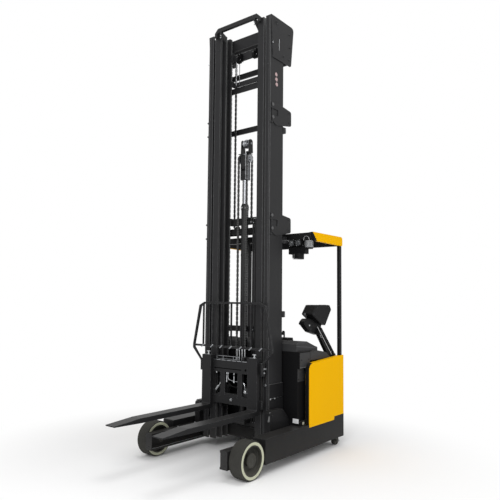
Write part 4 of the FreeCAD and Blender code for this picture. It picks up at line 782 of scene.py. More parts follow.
class ChainOperator(Step, bpy.types.Operator):
    """Builds the leaf chains plate by plate, with their anchors"""
    bl_idname = "truck.chains"
    bl_label = "Lift chains"

    def execute(self, context):
        self.pair("lift_chains", "middle", "carriage_chain", 0.043, 2.38)
        self.pair("free_lift_chains", "rod_head", "head_chain", 0.0435, 2.40)
        return {"FINISHED"}

    def pair(self, node, body, name, radius, rear_end):
        low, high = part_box(node)
        middle_y, middle_z = (low.y + high.y) / 2, high.z - radius - 0.006
        links = [self.link(number) for number in range(2)]
        pitch, half_wide = sizes().chain_pitch, 0.012
        up, over, down = middle_z - low.z, math.pi * radius, middle_z - rear_end
        for side, x in (("left", high.x - half_wide), ("right", low.x + half_wide)):
            piece = Piece()
            way, number = pitch * 0.3, 0
            while way < up + over + down - pitch * 1.1:
                if way < up - pitch / 2:
                    where, angle = Vector((x, middle_y - radius, low.z + way)), 0.0
                elif way < up + over:
                    angle = (way + pitch / 2 - up) / radius
                    where = Vector((x, middle_y - radius * math.cos(angle), middle_z + radius * math.sin(angle)))
                    where -= Vector((0, math.sin(angle), math.cos(angle))) * pitch / 2
                else:
                    where, angle = Vector((x, middle_y + radius, middle_z - (way - up - over))), math.pi
                stamp = links[number % 2].copy()
                stamp.transform(Matrix.Translation(where) @ Matrix.Rotation(-angle, 4, "X"))
                piece.mesh.from_mesh(stamp)
                bpy.data.meshes.remove(stamp)
                way += pitch
                number += 1
            for y, z in ((middle_y - radius, low.z), (middle_y + radius, rear_end)):
                piece.block((x - 0.012, y - 0.0058, z), (x + 0.012, y + 0.0058, z + pitch * 1.1), 0.0015, 1)
            piece.done(f"{name}_{side}", body, "oiled chain steel, zinc plate",
                       (node,) if side == "left" else (), 30)
        for each in links:
            bpy.data.meshes.remove(each)

    def link(self, kind):
        """One pitch of plates, and the pin at its foot; its two kinds lace together."""
        pitch, half, thick = sizes().chain_pitch, sizes().chain_plate / 2, 0.0032
        end, waist = half * 0.72, half * 0.72
        edge = [(half * 0.8, -end * 0.9), (half, 0), (waist, pitch / 2), (half, pitch),
                (half * 0.8, pitch + end * 0.9)]
        outline = [(0.0, -end * 1.25), *edge, (0.0, pitch + end * 1.25), *((-y, z) for y, z in reversed(edge))]
        piece = Piece()
        for x in (-0.0105, -0.0035, 0.0035, 0.0105) if kind else (-0.007, 0.0, 0.007):
            piece.slab("YZ", outline, x - thick / 2, x + thick / 2)
        piece.rod((-0.0122, 0, 0), (0.0122, 0, 0), 0.0038, 1, 6)
        data = bpy.data.meshes.new("link")
        piece.mesh.to_mesh(data)
        piece.mesh.free()
        return data


class CylinderOperator(Step, bpy.types.Operator):
    """Fits glands, wipers, collars and ports to the lift cylinders, and a cap to the reach cylinder"""
    bl_idname = "truck.cylinders"
    bl_label = "Cylinders"

    def execute(self, context):
        low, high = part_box("lift_cylinders")
        radius, y = (high.y - low.y) / 2, (low.y + high.y) / 2
        piece = Piece()
        for x in (high.x - radius, low.x + radius):
            self.gland(piece, (x, y, high.z), radius, 0.0208)
            self.collar(piece, (x, y, high.z - 0.32), radius, 0.003, 0.002, 0.020, 0.024, 28)
            self.collar(piece, (x, y, low.z), radius, 0.004, 0.0, 0.030, 0.036, 28, -0.004)
        for side in piece.sides():
            port = Vector((high.x - radius * 1.5, y - radius * 0.8, low.z + 0.075))
            piece.rod(port, port + Vector((-0.012, -0.016, 0)), 0.011, 1, 6, 0.001)
        piece.done("lift_cylinder_glands", "reach", "cylinder black, zinc plate")
        low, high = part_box("free_lift_cylinder")
        radius, x, y = (high.x - low.x) / 2, (low.x + high.x) / 2, (low.y + high.y) / 2
        piece = Piece()
        self.gland(piece, (x, y, high.z), radius, 0.0288)
        for z in (0.62, 1.45, 2.05):
            self.collar(piece, (x, y, z), radius, 0.0025, 0.0015, 0.012, 0.0135, 32)
        piece.done("free_lift_gland", "inner", "cylinder black, zinc plate")
        low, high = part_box("reach_cylinder")
        radius = (high.x - low.x) / 2
        piece = Piece()
        piece.lathe(((0.0, 0.0), (radius * 0.8, 0.0), (radius, -0.004), (radius + 0.003, -0.012),
                     (radius + 0.003, -0.04), (radius, -0.045)),
                    ((low.x + high.x) / 2, high.y, (low.z + high.z) / 2), "Y", 0, 28)
        piece.done("reach_cylinder_cap", "chassis", "cylinder black")
        return {"FINISHED"}

    def collar(self, piece, centre, radius, proud, first, second, end, steps, start=0.0):
        """A raised ring round a barrel."""
        piece.lathe(((radius, start), (radius + proud, first), (radius + proud, second), (radius, end)),
                    centre, "Z", 0, steps)

    def gland(self, piece, mouth, radius, rod_radius):
        """A screwed gland with spanner flats and a wiper lip at a barrel's mouth."""
        piece.lathe(((radius, -0.052), (radius + 0.004, -0.049), (radius + 0.004, -0.010), (radius + 0.001, -0.006),
                     (radius - 0.001, 0.004), (rod_radius + 0.006, 0.008), (rod_radius + 0.004, 0.014),
                     (rod_radius + 0.0004, 0.015), (rod_radius + 0.0004, 0.001)), mouth, "Z", 0, 32)
        flat = Vector((0.004, 0.004, 0.010))
        for slot in ring_of(6, Vector(mouth) - Vector((0, 0, 0.030)), radius + 0.0035, "Z", 0.3):
            piece.block(slot - flat, slot + flat, 0.001, 1)


class RodHeadOperator(Step, bpy.types.Operator):
    """Dresses the centre rod's head: yoke plates, sheaves, hose pulleys and guards"""
    bl_idname = "truck.rod_head"
    bl_label = "Rod head"

    def execute(self, context):
        rod_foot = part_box("free_lift_rod")[0].z
        chain_low, chain_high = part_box("free_lift_chains")
        y = (chain_low.y + chain_high.y) / 2
        sheave_z = chain_high.z - 0.051
        pulley_z, foot = sheave_z + 0.165, sheave_z - 0.230
        piece = Piece()
        piece.rod((0, y, rod_foot), (0, y, foot + 0.002), 0.028, 1, 40)
        rise = [(y + 0.036, sheave_z + 0.066), (y + 0.030, pulley_z + 0.030), (y + 0.016, pulley_z + 0.046)]
        top = rise + [(2 * y - out, z) for out, z in reversed(rise)]
        bottom = [(y - 0.036, foot), (y + 0.036, foot)]
        piece.slab("YZ", bottom + top, -0.0395, -0.0285, 0.0015, 0)
        piece.slab("YZ", bottom + [top[0], top[-1]], 0.0285, 0.0395, 0.0015, 2)
        piece.slab("YZ", top, 0.066, 0.0765, 0.0015, 0)
        piece.block((0.030, y - 0.035, sheave_z + 0.0665), (0.0755, y + 0.035, sheave_z + 0.0775), 0.002, 0)
        piece.rod((-0.050, y, pulley_z), (0.083, y, pulley_z), 0.011, 2, 20, 0.002)
        for half_wide, half_deep, low, high, bevel, material in (
                (0.030, 0.034, foot, foot + 0.055, 0.003, 0), (0.029, 0.030, foot + 0.12, foot + 0.150, 0.002, 0),
                (0.029, 0.012, sheave_z + 0.050, sheave_z + 0.062, 0.002, 2)):
            piece.block((-half_wide, y - half_deep, low), (half_wide, y + half_deep, high), bevel, material)
        for x, radius in ((0.004, 0.0455), (0.022, 0.0495), (0.040, 0.0455)):
            self.pulley(piece, (x, y, pulley_z), radius, 0.00625)
        sheave = (0.057, y, sheave_z)
        for side in piece.sides():
            piece.lathe(((0.010, -0.0115), (0.040, -0.0115), (0.040, 0.0115), (0.010, 0.0115)),
                        sheave, "X", 2, 40, True)
            piece.turned(((0.020, 0.012), (0.020, 0.019), (0.017, 0.021)), sheave, "X", 2, 20)
            piece.block((0.0452, y - 0.040, sheave_z + 0.054), (0.0688, y + 0.040, sheave_z + 0.060), 0.001, 0)
        piece.done("rod_head_yoke", "rod_head", "cylinder black, ground rod chrome, turned steel",
                   ("free_lift_rod",))
        return {"FINISHED"}

    def pulley(self, piece, centre, radius, half):
        """A grooved pulley."""
        profile = [(0.008, -half), (radius * 0.42, -half), (radius * 0.46, -half / 2), (radius * 0.78, -half / 2),
                   (radius * 0.82, -half), (radius, -half)]
        piece.lathe(both_ends(profile, 0.0, [(radius * 0.86, 0.0)]), centre, "X", 2, 40, True)


# Mast


class MastFittingOperator(Step, bpy.types.Operator):
    """Bolts, weld beads, roller blocks, painted edge highlights, blank discs and guide pipes on the mast stages"""
    bl_idname = "truck.mast_fittings"
    bl_label = "Mast fittings"

    def execute(self, context):
        low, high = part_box("outer_rails")
        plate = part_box("outer_ties")[1].x
        self.outer_side(plate, high.x, low.y, high.y)
        self.head_marks(plate, high.x, low.y)
        self.inner_pipes()
        self.stage_bolts()
        self.rail_highlights()
        return {"FINISHED"}

    def rail_highlights(self):
        """Light strips along the front corners of the three pairs of rails: painted edge highlights."""
        for stage, body, wide in (("outer", "reach", 0.063), ("middle", "middle", 0.074), ("inner", "inner", 0.065)):
            low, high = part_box(stage + "_rails")
            piece = Piece()
            for side in piece.sides():
                # Painted highlights along each rail's front edges.
                for x, way in ((high.x, -1), (high.x - wide, 1)):
                    piece.block((x + way * 0.0032, low.y - 0.0006, low.z + 0.004),
                                (x - way * 0.0006, low.y + 0.0024, high.z - 0.004), 0.0004)
            piece.done(stage + "_edges", body, "painted edge highlight")

    def outer_side(self, plate, face, front, rear):
        head, hanger_feet, block_feet = 4.16, (2.232, 3.384), (1.402, 3.338)
        rail_screws, foot_screws = (1.62, 2.10, 2.62, 3.14, 3.66, 4.02), (0.735, 0.895)
        weld_runs = ((0.745, 0.752), (2.262, 2.450), (3.414, 3.602), (4.10, 4.53))
        piece = Piece()
        for side in piece.sides():
            for low in hanger_feet:
                for y, z in ((0.035, 0.206), (0.040, 0.074)):
                    piece.turned(((0.012, 0.006), (0.017, 0.003), (0.017, -0.001)),
                                 (plate, front + y, low + z), "X", 2, 20)
                piece.bolts([(plate, rear + 0.100, low + z) for z in (0.190, 0.085)], "+X", 0.014)
                for z in (low + 0.014, low + 0.169):
                    piece.rod((face, front + 0.012, z), (face + 0.020, front + 0.012, z), 0.010, 0, 14, 0.002)
            piece.bolts([(plate, front + 0.22, head), (plate, front + 0.33, head), (plate, front + 0.33, head + 0.28),
                         (plate, rear + 0.11, head + 0.14)], "+X", 0.014)
            piece.rod((plate - 0.02, front + 0.040, head + 0.076), (plate + 0.018, front + 0.006, head + 0.076),
                      0.006, 1, 10, 0.001)
            piece.bolts([(face - 0.036, front, z) for z in foot_screws], "-Y", 0.022, 1, 0.4)
            piece.bolts([(face - 0.036, front, z) for z in rail_screws], "-Y", 0.010, 0, 0.4)
            for z in block_feet:
                self.roller_block(piece, face, rear, z)
            for low, high in weld_runs:
                for y in (front + 0.031, rear - 0.002):
                    piece.post(face + 0.001, y, low, high, 0.0028, 0, 6)
        piece.done("mast_side_fittings", "reach", "mast paint, zinc plate, plate boss")

    def roller_block(self, piece, face, rear, z):
        """A ribbed cap over a side roller's screw, behind the rail."""
        piece.block((face - 0.040, rear - 0.002, z), (face + 0.006, rear + 0.048, z + 0.064), 0.006, 0, 2)
        for number in range(4):
            rib = z + 0.010 + number * 0.014
            piece.block((face - 0.0415, rear + 0.004, rib), (face + 0.0075, rear + 0.0505, rib + 0.005), 0.0015)

    def head_marks(self, plate, web, front):
        """A round grommet with a black disc of painted shade in its hole, a blank plate's edges and a light strip on
        the head, and three discs below it.
        """
        piece = Piece()
        grommet = (plate, front + 0.092, 4.487)
        near, far, left, foot, line = plate - 0.001, plate + 0.0016, 0.062, 4.458, 0.0025
        for side in piece.sides():
            piece.lathe(((0.013, -0.0005), (0.013, 0.002), (0.018, 0.0028), (0.023, 0.0018), (0.024, -0.0005)),
                        grommet, "X", 0, 28, True)
            # A black disc in the grommet: painted shade for its hole.
            piece.turned(((0.013, 0.0004), (0.013, -0.002)), grommet, "X", 3, 28)
            for y, z, deep, tall in ((left, foot, 0.062, line), (left, foot + 0.058, 0.062, line),
                                     (left, foot, line, 0.060), (left + 0.0595, foot, line, 0.060)):
                piece.block((near, front + y, z), (far, front + y + deep, z + tall), 0.0005)
            piece.block((near, front + 0.139, 4.198), (far, front + 0.143, 4.322), 0.0008, 1)
            for number in range(3):
                piece.turned(((0.0195, 0.0008), (0.0205, 0.00032), (0.0205, -0.0005)),
                             (web, front + 0.102 + number * 0.005, 3.929 - number * 0.052), "X", 2, 28)
        piece.done("mast_head_marks", "reach", "mast paint, light strip, blank disc, black moulding")

    def inner_pipes(self):
        """Guide rods, the hose pulleys and the rigid oil pipes behind the inner stage."""
        y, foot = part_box("inner_ties")[1].y - 0.0165, 3.985
        piece = Piece()
        pulley = Vector((0.112, y - 0.045, 4.246))
        for side in piece.sides():
            piece.post(0.188, y + 0.002, foot, 4.300, 0.0045, 1, 10)
            for x in (0.092, 0.1285):
                piece.block((x, pulley.y - 0.006, 4.234), (x + 0.0035, y + 0.008, 4.321), 0.001)
            half = [(0.006, -0.015), (0.041, -0.015), (0.043, -0.012), (0.036, -0.004)]
            piece.lathe(both_ends(half, 0.0), pulley, "X", 0, 36, True)
            piece.rod(pulley - Vector((0.022, 0, 0)), pulley + Vector((0.022, 0, 0)), 0.006, 1, 12, 0.001)
            piece.tube(((0.138, y, 4.262), (0.138, y, foot)), sizes().pipe * 0.4, 1)
        piece.done("inner_guides", "inner", "black moulding, zinc plate")

    def stage_bolts(self):
        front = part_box("middle_rails")[0].y
        piece = Piece()
        for side in piece.sides():
            piece.bolts([(0.298, front, z) for z in (0.577, 1.9, 3.2, 4.35)], "-Y", 0.012, 0, 0.35)
            piece.bolts([(0.20, 0.345, z) for z in (4.415, 4.50)], "+Y", 0.018, 1)
        piece.done("middle_stage_bolts", "middle", "mast paint, zinc plate")
        rear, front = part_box("inner_ties")[1].y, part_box("mast_top_bar")[0].y + 0.012
        piece = Piece()
        for side in piece.sides():
            piece.bolts([(0.205, rear, z) for z in (4.27, 4.32, 3.993, 2.43, 1.265, 0.31)], "+Y", 0.015, 1, 0.5)
            piece.bolts([(0.237, front, z) for z in (4.475, 4.50)], "-Y", 0.012, 1, 0.4)
        piece.done("inner_stage_bolts", "inner", "mast paint, zinc plate")


# Forks


class ForkFittingOperator(Step, bpy.types.Operator):
    """Latch pins, tilt screws, pipes, chain adjusters and face marks on the fork carriage, and backrest feet"""
    bl_idname = "truck.fork_fittings"
    bl_label = "Fork carriage fittings"

    def execute(self, context):
        for side, _ in SIDES:
            self.latch(side)
        low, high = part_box("fork_frame")
        self.carriage_face(low.y, high.x)
        self.shift_gear(low.y)
        self.adjusters()
        self.pipe_guard(low.y + 0.0225)
        self.rest_tabs()
        return {"FINISHED"}

    def latch(self, side):
        low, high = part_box("fork_" + side)
        x, y, top = (low.x + high.x) / 2, 0.046, high.z
        piece = Piece()
        piece.block((x - 0.050, y - 0.016, top), (x + 0.042, y + 0.016, top + 0.004), 0.0012)
        piece.post(x + 0.010, y, top, top + 0.034, 0.0085, 1, 14, 0.001)
        piece.turned(((0.014, 0.0), (0.014, 0.006), (0.010, 0.009)), (x + 0.010, y, top + 0.004), "Z", 1, 20)
        piece.rod((x - 0.012, y, top + 0.034), (x + 0.032, y, top + 0.034), 0.0065, 1, 12, 0.002)
        piece.done("latch_pin_" + side, f"fork_{side}_slider", "turned steel, zinc plate")

    def carriage_face(self, front, half):
        """The rack, its notches as black patches of painted shade, the slot and its hole as a black strip and disc of
        painted shade, the arch plate and the middle screw.
        """
        top, skin, back = 0.955, front - 0.0002, front + 0.001
        notch_pitch, fork_middle, fork_room = 0.070, 0.307, 0.075
        piece = Piece()
        piece.block((-half + 0.004, skin, top - 0.0062), (half - 0.004, back, top - 0.0003), 0.0, 1)
        for number in range(-5, 6):
            x = number * notch_pitch
            if abs(abs(x) - fork_middle) > fork_room:
                # Black patches at the notches: painted shade in them.
                piece.block((x - 0.006, front - 0.00025, top - 0.012), (x + 0.006, back, top - 0.0002), 0.0, 2)
        # A black strip and disc on the face: painted shade for the slot and its hole.
        piece.block((-0.232, skin, 0.8625), (0.132, back, 0.8705), 0.0, 4)
        piece.turned(((0.0115, -0.0002), (0.0115, 0.001)), (0.190, front, 0.869), "Y", 4, 20)
        arch = ((-0.2415, 0.586), (-0.200, 0.600), (-0.150, 0.621), (-0.100, 0.620), (0.060, 0.612), (0.130, 0.606),
                (0.200, 0.590), (0.2415, 0.582), (0.2415, 0.512), (-0.2415, 0.512))
        piece.slab("XZ", arch, front + 0.003, front + 0.016, 0.0025)
        piece.bolts([(0.002, front, 0.556)], "-Y", 0.022, 3)
        piece.done("carriage_face", "tilt",
                   "carriage paint, turned steel, black moulding, zinc plate, slot shade")

    def shift_gear(self, front):
        """The tilt screws, small cylinder and oil fittings between the two bars."""
        piece = Piece()
        for x in (-0.068, 0.030):
            for low, high, radius, material, segments in (
                    (0.736, 0.832, 0.0062, 1, 12), (0.728, 0.744, 0.010, 1, 6), (0.796, 0.808, 0.011, 0, 12)):
                piece.post(x, front + 0.013, low, high, radius, material, segments, 0.001)
        axis = front + 0.0155
        low, high = Vector((-0.234, axis, 0.622)), Vector((-0.154, axis, 0.712))
        way = (high - low).normalized()
        piece.rod(low + way * 0.022, low + way * 0.078, 0.0125, 1, 18, 0.002)
        piece.rod(low + way * 0.078, high, 0.006, 1, 12)
        for end in (low, high):
            piece.lathe(((0.0, -0.011), (0.007, -0.009), (0.011, 0.0), (0.007, 0.009), (0.0, 0.011)),
                        end, "Y", 1, 16)
        piece.rod(low, low + way * 0.024, 0.007, 1, 12)
        piece.block((-0.250, front + 0.002, 0.584), (-0.214, front + 0.018, 0.640), 0.003)
        lug = ((0.146, 0.584), (0.236, 0.584), (0.236, 0.668), (0.216, 0.694), (0.150, 0.694))
        piece.slab("XZ", lug, front + 0.0205, front + 0.0265, 0.002)
        ring = Vector((0.172, front + 0.0215, 0.648))
        piece.turned(((0.007, -0.018), (0.009, -0.012), (0.016, -0.010), (0.018, -0.004), (0.018, 0.003)),
                     ring, "Y", 1, 24)
        piece.lathe(((0.020, -0.008), (0.026, -0.006), (0.027, 0.003), (0.020, 0.003)), ring, "Y", 0, 28, True)
        piece.turned(((0.008, -0.012), (0.010, -0.008), (0.010, 0.003)),
                     ring + Vector((0.036, 0, -0.006)), "Y", 1, 18)
        y, mouth = front + 0.016, 0.832
        for path, bend, material in (
                (((-0.055, 0, mouth), (-0.055, 0, 0.757), (0.020, 0.008, 0.742), (0.120, 0.008, 0.742),
                  (0.150, 0, 0.742), (0.172, 0, 0.700), (0.172, 0, 0.664)), 0.025, 1),
                (((-0.070, 0.01, mouth), (-0.070, 0.01, 0.738), (-0.030, 0.014, 0.690), (0.040, 0.014, 0.680),
                  (0.085, 0.008, 0.702), (0.108, 0.008, 0.760), (0.108, 0.008, mouth)), 0.030, 2),
                (((-0.215, 0, mouth), (-0.215, 0, 0.700), (-0.190, 0, 0.676), (-0.190, 0, 0.640)), 0.02, 2)):
            path = [(x, y + deep, z) for x, deep, z in path]
            piece.tube(rounded(path, bend), sizes().pipe * 0.42, material)
        for x in (-0.055, 0.108, -0.070, -0.215):
            piece.post(x, y + 0.004, mouth - 0.022, mouth - 0.004, 0.0085, 1, 6, 0.001)
        piece.done("carriage_gear", "tilt", "carriage paint, zinc plate, black moulding")

    def adjusters(self):
        """Chain adjusting screws on the lift frame."""
        y, top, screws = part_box("lift_frame")[0].y + 0.026, 0.950, (0.014, 0.046, 0.082, 0.118)
        piece = Piece()
        for x in screws:
            for low, high, radius, segments, bevel in (
                    (-0.004, 0.122, 0.0052, 12, 0.001), (0.0, 0.012, 0.0095, 6, 0.001),
                    (0.016, 0.026, 0.0090, 6, 0.001), (0.098, 0.124, 0.0075, 12, 0.0015)):
                piece.post(x, y, top + low, top + high, radius, 0, segments, bevel)
        piece.done("chain_adjusters", "lift", "zinc plate")

    def pipe_guard(self, y):
        """The wire guard over the pipes, above the carriage."""
        foot, head, left, right = 0.955, 0.992, -0.218, 0.088
        piece = Piece()
        piece.tube(rounded(((left, y, foot), (left, y, head), (right, y, head), (right, y, foot)), 0.012), 0.0034)
        for x in (-0.130, 0.010, 0.046):
            piece.post(x, y, foot - 0.001, head, 0.0030, 0, 8)
        piece.rod((left, y, foot + 0.008), (right, y, foot + 0.008), 0.0028, 0, 8)
        piece.done("pipe_guard", "tilt", "turned steel")

    def rest_tabs(self):
        """Flattened bar feet in bright steel on the backrest's middle bar, their brightness a painted highlight, and
        its corner welds.
        """
        low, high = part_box("load_backrest")
        bar_pitch = 0.130
        piece = Piece()
        for number in range(-3, 4):
            x, y = number * bar_pitch, low.y + 0.011
            # Bright steel feet: a painted highlight on the bars' flattened feet.
            piece.block((x - 0.006, low.y - 0.0025, 1.066), (x + 0.006, low.y + 0.004, 1.112), 0.0015, 1,
                        turn=Matrix.Rotation(math.radians(50), 4, "Y"))
            piece.post(x, y, 1.098, 1.106, 0.0095, 0, 12, 0.002)
            piece.post(x, y, high.z - 0.022, high.z - 0.027, 0.0090, 0, 12, 0.002)
        for side in piece.sides():
            piece.bolts([(0.4152, 0.075, z) for z in (0.86, 0.90)], "+X", 0.014, 2, 0.5)
        piece.done("backrest_feet", "tilt", "carriage paint, turned steel, zinc plate")


# Chassis and legs


class ChassisFittingOperator(Step, bpy.types.Operator):
    """Leg caps, seams and screws, axle caps, the reach carriage's lugs and grips, and the skirts' screws"""
    bl_idname = "truck.chassis_fittings"
    bl_label = "Chassis fittings"

    def execute(self, context):
        self.legs()
        self.axles()
        self.carriage()
        self.skirts()
        return {"FINISHED"}

    def legs(self):
        low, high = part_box("leg_left")
        near, far, seam = low.x + 0.004, high.x - 0.0002, low.x + 0.0015
        piece = Piece()
        for side in piece.sides():
            piece.block((near, low.y - 0.0002, low.z + 0.0002), (far, low.y + 0.010, high.z - 0.0002), 0.002)
            piece.bolts([((near + far) / 2, low.y, z) for z in (0.135, 0.228)], "-Y", 0.014, 0, 0.4)
            for z in (high.z - 0.0205, low.z + 0.0205):
                piece.rod((seam, low.y + 0.01, z), (seam, high.y, z), 0.0016, 1, 6)
            piece.bolts([(low.x + 0.045, y, high.z) for y in (-0.20, 0.05, 0.28)], "+Z", 0.016, 1, 0.3)
        piece.done("leg_fittings", "chassis", "mast paint, zinc plate")

    def axles(self):
        low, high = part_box("stub_axles")
        piece = Piece()
        for side in piece.sides():
            piece.turned(((0.016, 0.004), (0.021, 0.001), (0.022, -0.001)),
                         (high.x, (low.y + high.y) / 2, (low.z + high.z) / 2), "X", 0, 24)
        piece.done("axle_caps", "chassis", "wheel iron, zinc plate")

    def carriage(self):
        """Locking lugs and their pipe, grip bars, painted highlights along the plate's edges, wing bolts and a seam.
        """
        plate, wing, grip, stay, lug_z = 0.4373, 0.5003, 0.490, 0.478, 0.600
        piece = Piece()
        for side in piece.sides():
            for y in (0.150, 0.224):
                piece.block((plate, y - 0.008, lug_z - 0.006), (plate + 0.007, y + 0.008, lug_z + 0.006), 0.002, 1)
                piece.turned(((0.006, 0.008), (0.009, 0.005), (0.009, -0.0005)), (plate, y, lug_z), "X", 1, 16)
            pipe = [(plate + 0.004, y, lug_z + rise) for y, rise in ((0.140, 0), (0.140, 0.006), (0.350, 0.006))]
            piece.tube(rounded(pipe, 0.004), 0.0022, 1)
            piece.rod((grip, 0.082, 0.492), (grip, 0.052, 0.400), 0.010, 2, 16, 0.004)
            piece.rod((grip, 0.080, 0.470), (stay, 0.100, 0.462), 0.006, 1, 10)
            piece.rod((grip, 0.056, 0.415), (stay, 0.080, 0.415), 0.006, 1, 10)
            # Light strips along the side plate's front and top edges: painted highlights.
            piece.block((plate - 0.001, 0.1280, 0.502), (plate + 0.0022, 0.1305, 0.745), 0.0006, 4)
            piece.block((plate - 0.001, 0.1290, 0.7432), (plate + 0.0022, 0.352, 0.7458), 0.0006, 4)
            piece.bolts([(wing, 0.10, 0.305), (wing, 0.10, 0.455), (wing, 0.345, 0.305)], "+X", 0.013, 0, 0.4)
            piece.block((wing - 0.001, 0.075, 0.378), (wing + 0.0008, 0.372, 0.3805), 0.0003, 3)
        piece.done("reach_fittings", "reach",
                   "mast paint, zinc plate, grip bar, black moulding, worn edge")

    def skirts(self):
        low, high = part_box("side_skirts")
        skin, screw_z, seam_z, screws = high.x - 0.0001, 0.155, 0.2085, (-0.16, 0.12, 0.42, 0.70, 0.98)
        piece = Piece()
        for side in piece.sides():
            for y in screws:
                piece.turned(((0.006, 0.0), (0.009, -0.0022)), (skin, y, screw_z), "X", 1, 14)
            piece.block((high.x - 0.0012, low.y + 0.020, seam_z), (skin, high.y - 0.020, seam_z + 0.0025), 0.0003, 2)
        low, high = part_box("battery_cover")
        piece.block((0.542, low.y - 0.0014, 0.346), (0.612, low.y, 0.392), 0.0006, 3)
        piece.block((high.x, 0.448, 0.330), (high.x + 0.0008, 0.480, 0.356), 0.0003, 4)
        piece.bolts([(0.520, low.y, 0.312)], "-Y", 0.016, 1, 0.4)
        piece.done("skirt_fittings", "chassis",
                   "mast paint, zinc plate, black moulding, blank plate, blank sticker")


# Body, roof and controls


class RoofFittingOperator(Step, bpy.types.Operator):
    """Lamp bezels, lenses and brackets, the ribbed beacon, and the roof's inner linings"""
    bl_idname = "truck.roof_fittings"
    bl_label = "Roof fittings"

    def execute(self, context):
        self.linings()
        self.lamps()
        self.beacon()
        return {"FINISHED"}

    def linings(self):
        """Folded black edges inside the yellow roof sides, and the screws of the roof's bars."""
        low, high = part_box("guard_fascia")
        front, rear, top, foot = low.y, high.y, high.z, low.z
        piece = Piece()
        for side in piece.sides():
            piece.slab("YZ", ((front - 0.0019, top - 0.0014), (front + 0.0784, foot + 0.0097),
                              (front + 0.084, foot + 0.0125), (front + 0.004, top - 0.0006)),
                       high.x - 0.0485, high.x - 0.0040)
            piece.slab("YZ", ((front + 0.006, top - 0.002), (front + 0.084, foot + 0.012),
                              (rear - 0.003, foot + 0.002), (rear - 0.003, top - 0.002)),
                       high.x - 0.0475, high.x - 0.0491)
        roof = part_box("guard_frame")[1].z - 0.004
        piece.bolts([(number * 0.140, y, roof) for number in range(-3, 4) for y in (front + 0.026, rear - 0.024)],
                    "+Z", 0.012, 1, 0.3)
        piece.done("roof_linings", "chassis", "mast paint, zinc plate", (), 30)

    def lamps(self):
        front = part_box("guard_lamps")[0].y
        radius, z, horn_foot, rail = 0.038, 2.187, 2.030, (front + 0.030, 2.156)
        inner = radius - 0.006
        lamp_middles, cheeks, hanger_strips = (0.411, 0.495), (0.372, 0.452, 0.535), (0.300, 0.318, 0.336)
        piece = Piece()
        for x in lamp_middles:
            place = (x, front, z)
            piece.lathe(((inner, 0.004), (inner, -0.004), (radius - 0.002, -0.006), (radius + 0.0025, -0.004),
                         (radius + 0.004, 0.004), (radius + 0.004, 0.018), (radius - 0.004, 0.020)),
                        place, "Y", 0, 36, True)
            piece.lathe(((0.0, -0.0030), (radius * 0.5, -0.0022), (inner, -0.0002), (inner, 0.003), (0.0, 0.003)),
                        place, "Y", 2, 32)
            piece.rod((x + 0.006, front - 0.0034, z + 0.009), (x + 0.006, front, z + 0.009), 0.0075, 1, 16, 0.001)
            for fin in range(5):
                deep = 0.026 + fin * 0.008
                piece.lathe(((inner, deep), (radius + 0.0035, deep + 0.0005), (radius + 0.0035, deep + 0.0028),
                             (inner, deep + 0.0034)), place, "Y", 0, 32, True)
            piece.bolts(ring_of(4, (x, front - 0.0052, z), radius - 0.0005, "Y", 0.6), "-Y", 0.0055, 1, 0.4)
        for x in cheeks:
            piece.block((x - 0.002, front + 0.012, 2.150), (x + 0.002, front + 0.060, 2.222), 0.001)
        piece.rod((0.366, *rail), (0.542, *rail), 0.004, 1, 10, 0.001)
        for x in hanger_strips:
            piece.block((x - 0.003, front + 0.002, 2.190), (x + 0.003, front + 0.008, 2.262), 0.001, 3)
        horn = (0.4578, front + 0.0385, 0)
        for number in range(4):
            rib = horn_foot + number * 0.010
            piece.lathe(((0.050, rib), (0.0545, rib + 0.001), (0.0545, rib + 0.004), (0.050, rib + 0.005)),
                        horn, "Z", 0, 36, True)
        piece.turned(((0.044, horn_foot - 0.0135), (0.048, horn_foot - 0.0115), (0.048, horn_foot - 0.008)),
                     horn, "Z", 3, 36)
        piece.done("lamp_fittings", "chassis",
                   "black moulding, zinc plate, work lamp lens, lamp bracket")

    def beacon(self):
        x, y, foot, radius, rib_pitch = 0.594, 0.610, 2.124, 0.044, 0.0105
        piece = Piece()
        piece.lathe(((0.0, foot - 0.0005), (radius * 0.9, foot - 0.0005), (radius + 0.0015, foot + 0.002),
                     (radius + 0.0015, foot + 0.010), (radius - 0.002, foot + 0.012)), (x, y, 0), "Z", 1, 40)
        for number in range(7):
            rib = foot + 0.0125 + number * rib_pitch
            piece.lathe(((radius - 0.003, rib), (radius + 0.0012, rib + 0.001), (radius + 0.0012, rib + 0.0065),
                         (radius - 0.003, rib + 0.0080)), (x, y, 0), "Z", 0, 40, True)
        for turn in (0.35, -0.45):
            path = []
            for number in range(9):
                across, out = math.cos(math.pi * number / 8), math.sin(math.pi * number / 8)
                path.append((x - 0.038 * across * math.cos(turn),
                             y - 0.047 - 0.010 * out + 0.012 * across * math.sin(turn), 2.212 + 0.042 * out))
            piece.tube(path, 0.0022, 2)
        piece.done("beacon_ribs", "chassis", "beacon lens, black moulding, beacon guard", (), 40)


